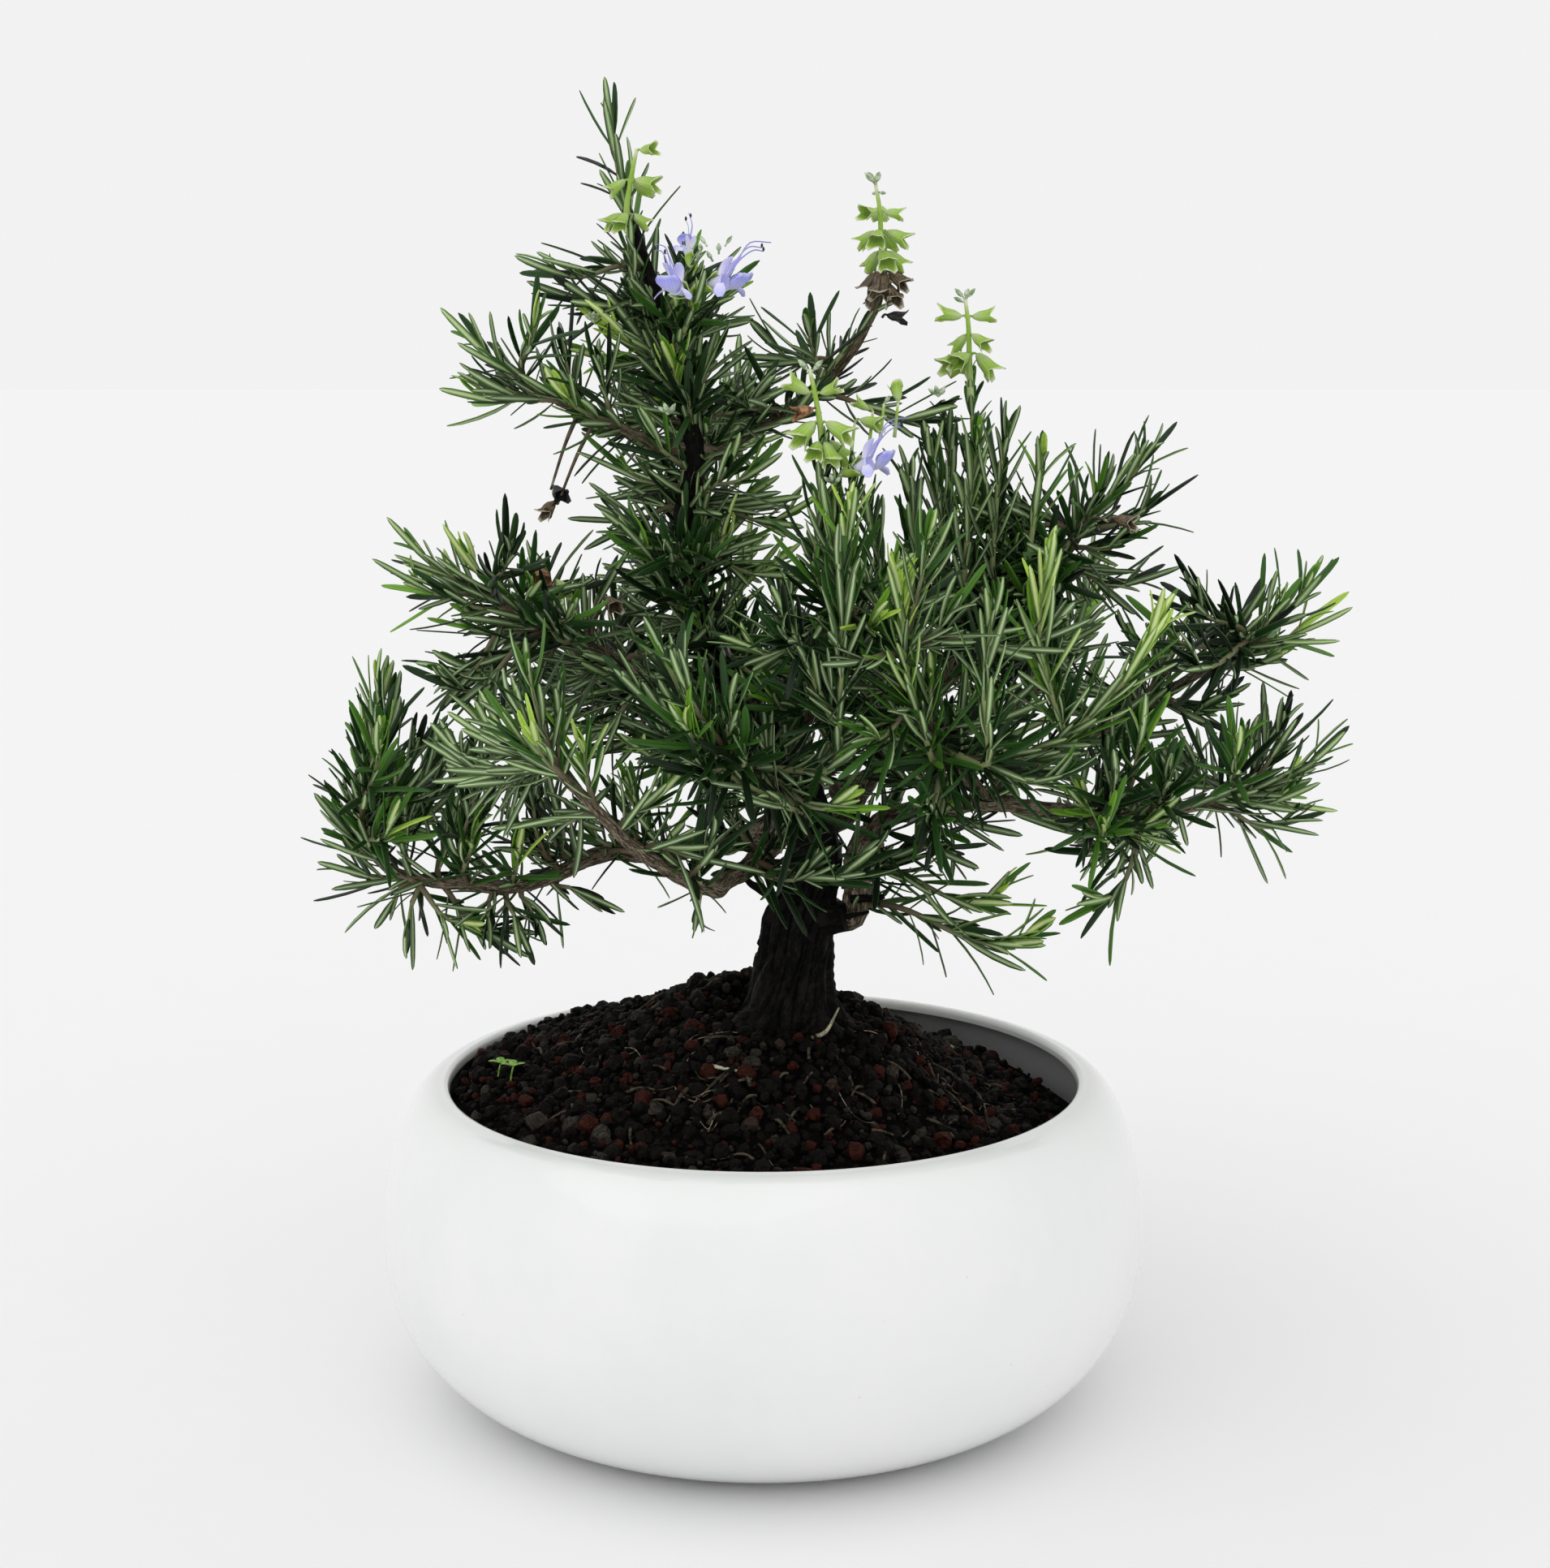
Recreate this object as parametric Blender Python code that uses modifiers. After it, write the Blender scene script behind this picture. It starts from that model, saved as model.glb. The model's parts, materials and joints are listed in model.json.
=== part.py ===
"""A rosemary bonsai in a round, glazed bowl.

The bowl stands on its flat foot at the origin, +Z up, with the front towards -Y.
Lengths are in metres; the values below are in millimetres and pass through mm().
"""

import math

import bmesh
import bpy
import numpy as np
from mathutils import Vector

MILLIMETRE = 0.001
GAP = 0.4  # between pieces that touch, mm

# bowl, mm
BOWL_RADIUS = 110.0
BOWL_HEIGHT = 93.0
BELLY_HEIGHT = 47.0
FOOT_RADIUS = 66.0
MOUTH_RADIUS = 90.5
WALL = 4.6
FLOOR_THICKNESS = 6.5
BOWL_SEGMENTS = 44
ARC_STEPS = 8

# three drain holes round the solid middle of the foot, and the mesh over them
DRAIN_RADIUS = 5.5
DRAIN_CIRCLE = 27.0
DRAIN_COUNT = 3
MESH_RADIUS = 38.0
MESH_THICKNESS = 1.2

# soil, mm: a mound under the trunk, with a ridge behind it to the left
TRUNK_FOOT = (8.0, 0.0)
SOIL_TOP = 107.5
SOIL_EDGE = 85.0
SOIL_TILT = 6.5
SOIL_HIGH_SIDE = math.radians(165)
PLATEAU_RADIUS = 19.0
RIDGE_PLACE = (-8.0, 32.0)
RIDGE_HEIGHT = 7.5
RIDGE_WIDTH = 32.0
RIDGE_NEAREST = 22.0  # from the trunk's foot, where the ridge starts
RIDGE_FULL = 36.0
SOIL_AT_WALL = 86.8  # highest, below the lip
RIM_SLOPE = 0.7
SOIL_SEGMENTS = 56
SOIL_RINGS = 13
SOIL_GAP = 0.8  # more than GAP, because the bowl and the soil have different facets

# wood: route in mm, then the radius at its start and at its end
TRUNK_ROUTE = [
    (8, 0, SOIL_TOP + GAP), (8, 0, 111), (8, 0, 115), (8.4, 0, 123), (9.2, 0, 131), (10.4, 0, 141),
    (13.2, 0, 149.5), (14.2, 0, 155)]
TRUNK_RADII = [17.0, 14.8, 13.2, 11.4, 10.5, 10.0, 8.6, 8.0]
BRANCHES = {
    "leader": (6.3, 1.3, [
        (14.6, 0, 157.1), (15, 0, 160.5), (11.5, 3, 173), (1, 5, 191), (-10, 4, 209), (-19, 0, 228),
        (-22, -3, 251), (-19, -3, 274), (-25, 0, 296), (-32, 0, 322), (-38, 0, 340)]),
    "branch_left": (4.0, 1.3, [
        (4, 6, 166), (-5, 12, 160), (-15, 15, 157), (-32, 13, 155), (-46, 8, 156),
        (-66, 0, 149), (-84, -2, 149), (-104, -2, 152), (-115, 0, 161)]),
    "branch_front_left": (3.3, 1.2, [
        (9, -10, 169), (0, -22, 162), (-10, -35, 156.5), (-17, -43, 157), (-29, -54, 167),
        (-36, -60, 174), (-45, -66, 185), (-53, -69, 194)]),
    "branch_front": (2.4, 1.4, [(8, -7, 183), (5, -28, 186), (-4, -52, 192), (-9, -62, 197)]),
    "branch_middle": (2.2, 1.2, [
        (8, -4, 194), (14, -16, 201), (20, -28, 214), (23, -35, 228), (22, -38, 236)]),
    "branch_right": (3.8, 1.4, [
        (23, -1, 139.5), (26, -2, 141.8), (26.6, -4, 150), (27, -5, 158), (29.5, -6, 164.5), (36, -8, 169.5),
        (46, -10, 173), (62, -12, 175), (84, -12, 172), (102, -10, 170), (121, -5, 172), (140, 0, 176)]),
    "branch_front_right": (2.2, 1.2, [
        (60, -18, 179), (53, -30, 188), (44, -42, 200), (38, -50, 214), (38, -53, 225)]),
    "branch_right_rising": (3.4, 1.3, [
        (24, 5, 168), (35, 14, 184), (55, 18, 207), (76, 14, 231), (91, 7, 251)]),
    "branch_right_outer": (2.4, 1.2, [
        (69, -5, 180), (86, 8, 186), (109, 14, 198), (129, 10, 211), (140, 6, 219)]),
    "branch_left_rising": (2.6, 1.2, [
        (-12, 4, 198), (-26, -2, 206), (-49, -7, 218), (-71, -4, 229), (-84, -1, 235)]),
    "branch_back": (3.2, 1.3, [(15, 12, 165), (16, 35, 170), (14, 60, 178), (12, 76, 186)]),
    "branch_back_left": (2.6, 1.2, [(3, 12, 175), (-13, 38, 181), (-36, 58, 188), (-54, 70, 196)]),
    "branch_back_right": (2.8, 1.2, [(22, 14, 174), (45, 40, 179), (68, 60, 187), (88, 72, 196)]),
    "branch_top_left": (1.8, 1.0, [
        (-26, -5, 273), (-34, -8, 277), (-48, -10, 283), (-61, -7, 289), (-69, -3, 294)]),
    "branch_top_right": (2.0, 1.0, [
        (-12, -1, 272), (-4, 3, 277), (7, 6, 283), (21, 4, 295), (30, 0, 309), (33, 0, 318)]),
    "branch_top_back": (1.7, 1.0, [(-19, 4, 262), (-15, 24, 269), (-12, 40, 276)]),
}

# leafy shoots: parent branch, where along it (1 is its end), tip in mm, half width in mm
SHOOTS = {
    "shoot_leader_tip": ("leader", 1.0, (-43, 2, 376), 5),
    "shoot_crown_left": ("leader", 0.82, (-68, -6, 330), 11),
    "shoot_crown_right": ("leader", 0.82, (-4, 4, 326), 12),
    "shoot_crown_front": ("leader", 0.68, (-20, -26, 320), 10),
    "shoot_crown_back": ("leader", 0.72, (-38, 42, 320), 14),
    "shoot_column_left": ("leader", 0.55, (-62, -2, 252), 13),
    "shoot_column_right": ("leader", 0.52, (18, 12, 262), 13),
    "shoot_column_front": ("leader", 0.50, (-26, -42, 254), 13),
    "shoot_column_back": ("leader", 0.46, (-40, 40, 242), 14),
    "shoot_top_left_end": ("branch_top_left", 1.0, (-92, 0, 310), 10),
    "shoot_top_left_rising": ("branch_top_left", 0.45, (-60, -26, 320), 11),
    "shoot_top_right_side": ("branch_top_right", 0.40, (12, -8, 318), 9),
    "shoot_top_back_end": ("branch_top_back", 1.0, (-6, 66, 304), 13),
    "shoot_left_rising_end": ("branch_left_rising", 1.0, (-108, 2, 262), 13),
    "shoot_left_rising_middle": ("branch_left_rising", 0.50, (-66, -36, 260), 12),
    "shoot_left_end": ("branch_left", 1.0, (-130, 0, 182), 10),
    "shoot_left_outer": ("branch_left", 0.76, (-112, 14, 216), 12),
    "shoot_left_inner": ("branch_left", 0.56, (-82, -24, 210), 15),
    "shoot_left_low": ("branch_left", 0.62, (-68, -14, 126), 10),
    "shoot_front_left_end": ("branch_front_left", 1.0, (-62, -74, 234), 13),
    "shoot_front_end": ("branch_front", 1.0, (-24, -90, 236), 14),
    "shoot_middle_end": ("branch_middle", 1.0, (17, -42, 273), 12),
    "shoot_front_right_end": ("branch_front_right", 1.0, (44, -62, 266), 13),
    "shoot_right_rising_end": ("branch_right_rising", 1.0, (112, 0, 284), 14),
    "shoot_right_rising_middle": ("branch_right_rising", 0.66, (58, 2, 290), 15),
    "shoot_right_outer_end": ("branch_right_outer", 1.0, (158, 4, 248), 13),
    "shoot_right_outer_middle": ("branch_right_outer", 0.50, (120, 18, 252), 12),
    "shoot_right_end": ("branch_right", 1.0, (165, -4, 198), 11),
    "shoot_right_front": ("branch_right", 0.66, (104, -46, 214), 15),
    "shoot_right_low": ("branch_right", 0.55, (90, -28, 146), 10),
    "shoot_back_end": ("branch_back", 1.0, (6, 98, 236), 17),
    "shoot_back_left_end": ("branch_back_left", 1.0, (-76, 82, 240), 17),
    "shoot_back_right_end": ("branch_back_right", 1.0, (108, 84, 240), 17),
}

# spikes of spent calyces: foot and tip in mm, half width in mm
SPIKES = {
    "calyx_spike_left": ((-32, -8, 337), (-29, -12, 360), 4.5),
    "calyx_spike_tall": ((33.3, 0, 319), (31, 0, 350), 7),
    "calyx_spike_right": ((58, 2, 292), (56, 0, 319), 6),
    "calyx_spike_middle": ((16, -42, 275), (12, -40, 300), 6),
}

# two-lipped flowers: foot and mouth in mm, half width in mm
FLOWERS = {
    "flower_upper_left": ((-22, -24, 321.5), (-27, -28, 332), 5),
    "flower_upper_right": ((-17, -24, 321.5), (-10, -28, 332), 5),
    "flower_middle": ((23, -43, 273), (33, -40, 281), 5),
}

ROUTE_STEPS = 3  # points between two route points
SHOOT_POINTS = 8

COLOURS = {  # base colour, roughness
    "glaze": ((0.83, 0.85, 0.86), 0.12),
    "drain_mesh": ((0.02, 0.02, 0.02), 0.6),
    "lava": ((0.035, 0.02, 0.017), 0.95),
    "bark": ((0.035, 0.026, 0.021), 0.9),
    "twig": ((0.20, 0.17, 0.12), 0.85),
    "leaf": ((0.055, 0.13, 0.045), 0.5),
    "calyx": ((0.36, 0.48, 0.16), 0.6),
    "petal": ((0.42, 0.46, 0.86), 0.5),
}


def mm(point):
    return Vector(point) * MILLIMETRE


def clear_scene():
    for thing in list(bpy.data.objects):
        bpy.data.objects.remove(thing, do_unlink=True)


def make_collection(name, hidden=False):
    collection = bpy.data.collections.new(name)
    bpy.context.scene.collection.children.link(collection)
    collection.hide_render = hidden
    return collection


def make_material(name):
    colour, roughness = COLOURS[name]
    material = bpy.data.materials.new(name)
    material.use_nodes = True
    shader = material.node_tree.nodes["Principled BSDF"]
    shader.inputs["Base Color"].default_value = (*colour, 1)
    shader.inputs["Roughness"].default_value = roughness
    shader.inputs["Metallic"].default_value = 0.0
    return material


def add_object(name, data, collection, material=None):
    thing = bpy.data.objects.new(name, data)
    collection.objects.link(thing)
    if material:
        data.materials.append(material)
    return thing


def smooth_route(points, steps=ROUTE_STEPS):
    """Points of a Catmull-Rom curve through the given ones, ends included."""
    known = [Vector(p) for p in points]
    padded = [2 * known[0] - known[1], *known, 2 * known[-1] - known[-2]]
    route = []
    for before, start, end, after in zip(padded, padded[1:], padded[2:], padded[3:]):
        for step in range(steps):
            t = step / steps
            route.append(0.5 * (
                2 * start + (end - before) * t
                + (2 * before - 5 * start + 4 * end - after) * t**2
                + (3 * start - before - 3 * end + after) * t**3
            ))
    return [*route, known[-1]]


def along(points, share):
    """The point and the direction at a share of the way along a route."""
    lengths = [(b - a).length for a, b in zip(points, points[1:])]
    left = share * sum(lengths)
    for a, b, length in zip(points, points[1:], lengths):
        if left <= length + 1e-9:
            return a.lerp(b, left / length), (b - a).normalized()
        left -= length
    return points[-1], (points[-1] - points[-2]).normalized()


def tube(name, points, radii, collection, material):
    """A round tube with closed ends through points in mm, one radius in mm for each."""
    curve = bpy.data.curves.new(name, "CURVE")
    curve.dimensions = "3D"
    curve.bevel_depth = MILLIMETRE
    curve.bevel_resolution = 2
    curve.use_fill_caps = True
    spline = curve.splines.new("POLY")
    spline.points.add(len(points) - 1)
    for knot, point, radius in zip(spline.points, points, radii):
        knot.co = (*mm(point), 1)
        knot.radius = radius
    return add_object(name, curve, collection, material)


def spindle(name, points, half_width, end_radius, collection, material):
    """A tube that swells from a thin stalk and closes to a blunt tip."""
    last = len(points) - 1
    radii = []
    for index in range(last + 1):
        t = index / last
        swell = math.sin(math.pi * t**0.85) ** 0.8 if 0 < t < 1 else 0
        radii.append(end_radius + (half_width - end_radius) * swell)
    return tube(name, points, radii, collection, material)


# --- bowl -------------------------------------------------------------------


def quarter(start, end, horizontal_first, steps=ARC_STEPS):
    """An elliptic quarter between two (radius, height) points, without its first point."""
    points = []
    for step in range(1, steps + 1):
        angle = step / steps * math.pi / 2
        across, up = (math.sin(angle), 1 - math.cos(angle))
        if not horizontal_first:
            across, up = up, across
        points.append((
            start[0] + (end[0] - start[0]) * across,
            start[1] + (end[1] - start[1]) * up,
        ))
    return points


def inner_profile(gap=0.0):
    """The bowl's inside from the middle of its floor up to below the lip, as (radius, height)."""
    floor = FLOOR_THICKNESS + gap
    belly = (BOWL_RADIUS - WALL - gap, BELLY_HEIGHT)
    mouth = (MOUTH_RADIUS - gap, BOWL_HEIGHT - 0.6 * WALL)
    flat = (FOOT_RADIUS - 8.0, floor)
    return [(0.0, floor), flat, *quarter(flat, belly, True), *quarter(belly, mouth, False)]


def bowl_profile():
    """The whole outline, from the middle of the underside out, up, over the lip and back in."""
    foot = (FOOT_RADIUS, 0.0)
    belly = (BOWL_RADIUS, BELLY_HEIGHT)
    shoulder = (MOUTH_RADIUS + 0.55 * WALL, BOWL_HEIGHT)
    outside = [(0.0, 0.0), foot, *quarter(foot, belly, True), *quarter(belly, shoulder, False)]
    lip = [(MOUTH_RADIUS + 0.2, BOWL_HEIGHT - 0.18 * WALL)]
    return outside + lip + inner_profile()[::-1]


def turned(name, profile, segments, collection, material):
    """A solid of revolution about Z from an outline of (radius, height) points in mm."""
    mesh = bpy.data.meshes.new(name)
    ordered = profile[::-1]
    points = [(radius * MILLIMETRE, 0, height * MILLIMETRE) for radius, height in ordered]
    mesh.from_pydata(points, [(i, i + 1) for i in range(len(points) - 1)], [])
    thing = add_object(name, mesh, collection, material)
    screw = thing.modifiers.new("turn", "SCREW")
    screw.steps = screw.render_steps = segments
    screw.use_merge_vertices = True
    screw.merge_threshold = 0.00001
    screw.use_smooth_shade = True
    return thing


def cylinder(name, radius, depth, centre, collection, material=None, segments=16):
    mesh = bpy.data.meshes.new(name)
    shape = bmesh.new()
    bmesh.ops.create_cone(
        shape, cap_ends=True, segments=segments,
        radius1=radius * MILLIMETRE, radius2=radius * MILLIMETRE, depth=depth * MILLIMETRE,
    )
    shape.to_mesh(mesh)
    shape.free()
    thing = add_object(name, mesh, collection, material)
    thing.location = mm(centre)
    return thing


def drain_centres():
    for index in range(DRAIN_COUNT):
        angle = math.radians(90) + index * 2 * math.pi / DRAIN_COUNT
        yield DRAIN_CIRCLE * math.cos(angle), DRAIN_CIRCLE * math.sin(angle)


def make_bowl(parts, cutters, material):
    bowl = turned("bowl", bowl_profile(), BOWL_SEGMENTS, parts, material)
    for index, (x, y) in enumerate(drain_centres()):
        cutter = cylinder(
            f"drain_cutter_{index + 1}", DRAIN_RADIUS, 3 * FLOOR_THICKNESS,
            (x, y, FLOOR_THICKNESS / 2), cutters,
        )
        cutter.hide_render = True
        cutter.display_type = "WIRE"
        cut = bowl.modifiers.new(f"drain_{index + 1}", "BOOLEAN")
        cut.operation = "DIFFERENCE"
        cut.object = cutter


# --- soil -------------------------------------------------------------------


def soil_height(x, y):
    """Height of the soil: a tilted bed, a mound round the trunk and a ridge behind it."""
    toward_high_side = math.cos(math.atan2(y, x) - SOIL_HIGH_SIDE)
    bed = SOIL_EDGE + SOIL_TILT * toward_high_side * math.hypot(x, y) / MOUTH_RADIUS
    dx, dy = x - TRUNK_FOOT[0], y - TRUNK_FOOT[1]
    spread = 42 + 14 * math.cos(math.atan2(dy, dx) - SOIL_HIGH_SIDE)
    fall = max(0.0, math.hypot(dx, dy) - PLATEAU_RADIUS) / spread
    mound = bed + (SOIL_TOP - bed) * math.exp(-fall * fall)
    share = (math.hypot(dx, dy) - RIDGE_NEAREST) / (RIDGE_FULL - RIDGE_NEAREST)
    share = min(1.0, max(0.0, share))
    away = math.hypot(x - RIDGE_PLACE[0], y - RIDGE_PLACE[1]) / RIDGE_WIDTH
    height = mound + RIDGE_HEIGHT * share * share * (3 - 2 * share) * math.exp(-away * away)
    return min(height, SOIL_AT_WALL + RIM_SLOPE * (MOUTH_RADIUS - math.hypot(x, y)))


def make_soil(parts, material):
    """A turned body that fits the bowl's inside, with the points of its top moved to the mound."""
    under = [
        (radius, height) for radius, height in inner_profile(GAP + SOIL_GAP)
        if height < SOIL_EDGE - SOIL_TILT - 3
    ]
    under[0:1] = [(0.0, FLOOR_THICKNESS + MESH_THICKNESS + 3 * GAP)]
    under[1] = (under[1][0], FLOOR_THICKNESS + MESH_THICKNESS + 3 * GAP)
    rim_radius = MOUTH_RADIUS - GAP - SOIL_GAP
    top = [
        (rim_radius * (1 - ring / SOIL_RINGS), SOIL_TOP) for ring in range(SOIL_RINGS + 1)
    ]
    pattern = turned("soil_pattern", under + top, SOIL_SEGMENTS, parts, material)
    graph = bpy.context.evaluated_depsgraph_get()
    mesh = bpy.data.meshes.new_from_object(pattern.evaluated_get(graph))
    mesh.name = "soil"
    bpy.data.objects.remove(pattern, do_unlink=True)
    for vertex in mesh.vertices:
        x, y, z = vertex.co / MILLIMETRE
        if z > SOIL_TOP - 0.01:
            vertex.co.z = soil_height(x, y) * MILLIMETRE
    soil = bpy.data.objects.new("soil", mesh)
    parts.objects.link(soil)


def make_drain_mesh(parts, material):
    height = FLOOR_THICKNESS + GAP + MESH_THICKNESS / 2
    cylinder("drain_mesh", MESH_RADIUS, MESH_THICKNESS, (0, 0, height), parts, material, 24)


# --- plant ------------------------------------------------------------------


def make_wood(parts, bark, twig):
    """The trunk, the leader and the branches. Returns each route and its end radii, in mm."""
    knots = smooth_route(TRUNK_ROUTE)
    places = np.linspace(0, len(TRUNK_RADII) - 1, len(knots))
    radii = np.interp(places, range(len(TRUNK_RADII)), TRUNK_RADII)
    tube("trunk", knots, radii, parts, bark)
    grown = {}
    for name, (thick, thin, points) in BRANCHES.items():
        knots = smooth_route(points, 2)
        radii = np.linspace(thick, thin, len(knots))
        tube(name, knots, radii, parts, bark if name == "leader" else twig)
        grown[name] = (knots, thick, thin)
    return grown


def make_shoots(parts, grown, material):
    """Each shoot leaves its branch sideways, or at its end, and bends up to its tip."""
    for name, (parent, share, tip, half_width) in SHOOTS.items():
        knots, thick, thin = grown[parent]
        start, direction = along(knots, share)
        parent_radius = thick + (thin - thick) * share
        stalk = 0.9
        tip = Vector(tip)
        if share >= 1:
            start = start + direction * 1.0
        else:
            aside = (tip - start) - (tip - start).project(direction)
            start = start + aside.normalized() * (parent_radius + stalk + 0.5)
        bend = start.lerp(tip, 0.5) + Vector((0, 0, -0.06 * (tip - start).length))
        route = [
            (1 - t) ** 2 * start + 2 * t * (1 - t) * bend + t**2 * tip
            for t in np.linspace(0, 1, SHOOT_POINTS)
        ]
        spindle(name, route, half_width, stalk, parts, material)


def make_blooms(parts, calyx, petal):
    for name, (foot, tip, half_width) in SPIKES.items():
        route = [Vector(foot).lerp(Vector(tip), t) for t in np.linspace(0, 1, 6)]
        spindle(name, route, half_width, 0.8, parts, calyx)
    for name, (foot, tip, half_width) in FLOWERS.items():
        route = [Vector(foot).lerp(Vector(tip), t) for t in np.linspace(0, 1, 5)]
        spindle(name, route, half_width, 1.2, parts, petal)


def main():
    clear_scene()
    parts = make_collection("rosemary_bonsai_in_bowl")
    cutters = make_collection("cutters", hidden=True)
    materials = {name: make_material(name) for name in COLOURS}
    make_bowl(parts, cutters, materials["glaze"])
    make_drain_mesh(parts, materials["drain_mesh"])
    make_soil(parts, materials["lava"])
    grown = make_wood(parts, materials["bark"], materials["twig"])
    make_shoots(parts, grown, materials["leaf"])
    make_blooms(parts, materials["calyx"], materials["petal"])


main()
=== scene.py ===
import json
import math
import random

import bpy
from mathutils import Matrix, Vector, noise

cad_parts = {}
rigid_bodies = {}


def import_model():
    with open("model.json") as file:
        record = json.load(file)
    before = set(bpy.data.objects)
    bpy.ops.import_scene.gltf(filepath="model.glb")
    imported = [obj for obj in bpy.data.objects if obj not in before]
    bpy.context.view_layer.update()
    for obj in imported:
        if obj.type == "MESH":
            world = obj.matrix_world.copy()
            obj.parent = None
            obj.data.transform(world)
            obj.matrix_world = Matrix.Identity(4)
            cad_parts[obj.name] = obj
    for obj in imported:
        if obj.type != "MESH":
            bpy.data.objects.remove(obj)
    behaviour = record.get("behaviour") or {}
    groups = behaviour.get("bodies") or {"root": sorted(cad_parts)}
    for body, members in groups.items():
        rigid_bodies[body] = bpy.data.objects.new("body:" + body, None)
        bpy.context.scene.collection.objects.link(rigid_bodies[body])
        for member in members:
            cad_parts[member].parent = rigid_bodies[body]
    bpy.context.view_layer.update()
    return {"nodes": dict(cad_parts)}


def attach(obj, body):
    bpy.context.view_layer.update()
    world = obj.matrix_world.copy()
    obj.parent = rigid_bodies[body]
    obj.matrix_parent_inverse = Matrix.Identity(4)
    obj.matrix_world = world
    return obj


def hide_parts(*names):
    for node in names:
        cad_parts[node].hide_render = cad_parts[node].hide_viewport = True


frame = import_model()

mm = 0.001
up = Vector((0, 0, 1))
print("frame loaded:", len(frame["nodes"]), "nodes")


# helpers for node trees

def pick(sockets, name):
    if isinstance(name, int):
        return sockets[name]
    return next(socket for socket in sockets if socket.name == name and socket.enabled)


class Value:
    def __init__(self, tree, socket):
        self.tree = tree
        self.socket = socket

    def math(self, operation, other=0.0):
        return self.tree.add("ShaderNodeMath", {"operation": operation}, {0: self, 1: other})[0]

    def after(self, operation, other):
        return self.tree.add("ShaderNodeMath", {"operation": operation}, {0: other, 1: self})[0]

    def vector(self, operation, other=(0, 0, 0)):
        return self.tree.add("ShaderNodeVectorMath", {"operation": operation}, {0: self, 1: other})[0]

    def times(self, factor):
        return self.tree.add("ShaderNodeVectorMath", {"operation": "SCALE"}, {0: self, "Scale": factor})[0]

    def clamped(self, low=0.0, high=1.0):
        return self.math("MAXIMUM", low).math("MINIMUM", high)

    def __add__(self, other):
        return self.math("ADD", other)

    def __radd__(self, other):
        return self.after("ADD", other)

    def __sub__(self, other):
        return self.math("SUBTRACT", other)

    def __rsub__(self, other):
        return self.after("SUBTRACT", other)

    def __mul__(self, other):
        return self.math("MULTIPLY", other)

    def __rmul__(self, other):
        return self.after("MULTIPLY", other)

    def __truediv__(self, other):
        return self.math("DIVIDE", other)

    def __rtruediv__(self, other):
        return self.after("DIVIDE", other)

    def __pow__(self, other):
        return self.math("POWER", other)


class Outputs:
    def __init__(self, tree, node):
        self.tree = tree
        self.node = node

    def __getitem__(self, name):
        return Value(self.tree, pick(self.node.outputs, name))


class Tree:
    def __init__(self, nodeTree):
        self.nodes = nodeTree.nodes
        self.links = nodeTree.links

    def add(self, kind, settings=None, sockets=None):
        node = self.nodes.new(kind)
        for name, setting in (settings or {}).items():
            if name == "stops":
                self.setStops(node.color_ramp, setting)
            else:
                setattr(node, name, setting)
        for name, value in (sockets or {}).items():
            self.feed(pick(node.inputs, name), value)
        return Outputs(self, node)

    def setStops(self, ramp, stops):
        while len(ramp.elements) < len(stops):
            ramp.elements.new(1)
        for element, (place, colour) in zip(ramp.elements, stops):
            element.position = place
            element.color = (*colour, 1)

    def feed(self, socket, value):
        if isinstance(value, list):
            for one in value:
                self.links.new(one.socket, socket)
        elif isinstance(value, Value):
            self.links.new(value.socket, socket)
        elif socket.type == "RGBA" and len(value) == 3:
            socket.default_value = (*value, 1)
        else:
            socket.default_value = value

    def mix(self, factor, first, second, mode="MIX"):
        settings = {"data_type": "RGBA", "blend_type": mode}
        return self.add("ShaderNodeMix", settings, {"Factor": factor, "A": first, "B": second})["Result"]

    def ramp(self, factor, stops):
        return self.add("ShaderNodeValToRGB", {"stops": stops}, {"Fac": factor})["Color"]

    def noise(self, place, scale, detail=4, roughness=0.6, distortion=0.0):
        sockets = {"Vector": place, "Scale": scale, "Detail": detail, "Roughness": roughness,
                   "Distortion": distortion}
        return self.add("ShaderNodeTexNoise", None, sockets)

    def joined(self, x=0.0, y=0.0, z=0.0):
        return self.add("ShaderNodeCombineXYZ", None, {"X": x, "Y": y, "Z": z})["Vector"]

    def split(self, vector):
        return self.add("ShaderNodeSeparateXYZ", None, {"Vector": vector})

    def step(self, value, low, high):
        settings = {"interpolation_type": "SMOOTHSTEP"}
        sockets = {"Value": value, "From Min": low, "From Max": high}
        return self.add("ShaderNodeMapRange", settings, sockets)["Result"]


def tint(red, green, blue):
    def linear(level):
        level /= 255
        return level / 12.92 if level < 0.04045 else ((level + 0.055) / 1.055) ** 2.4
    return (linear(red), linear(green), linear(blue))


def startMaterial(name):
    material = bpy.data.materials.new(name)
    material.use_nodes = True
    material.node_tree.nodes.clear()
    return material, Tree(material.node_tree)


def endMaterial(tree, sockets, bump=None, strength=0.3, depth=0.0004):
    if bump is not None:
        bumped = tree.add("ShaderNodeBump", None, {"Height": bump, "Strength": strength, "Distance": depth})
        sockets = {**sockets, "Normal": bumped["Normal"]}
    shader = tree.add("ShaderNodeBsdfPrincipled", None, sockets)
    tree.add("ShaderNodeOutputMaterial", None, {"Surface": shader["BSDF"]})


def byKind(tree, kind, colour, others):
    # each other finish takes over where the kind passes its limit
    for limit, finish in others:
        colour = tree.mix(tree.step(kind, limit - 0.01, limit + 0.01), colour, finish)
    return colour


def objectPlace(tree):
    return tree.add("ShaderNodeTexCoord")["Object"]


def attribute(tree, name, output="Vector"):
    return tree.add("ShaderNodeAttribute", {"attribute_name": name})[output]


# helpers for Geometry Nodes

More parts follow.
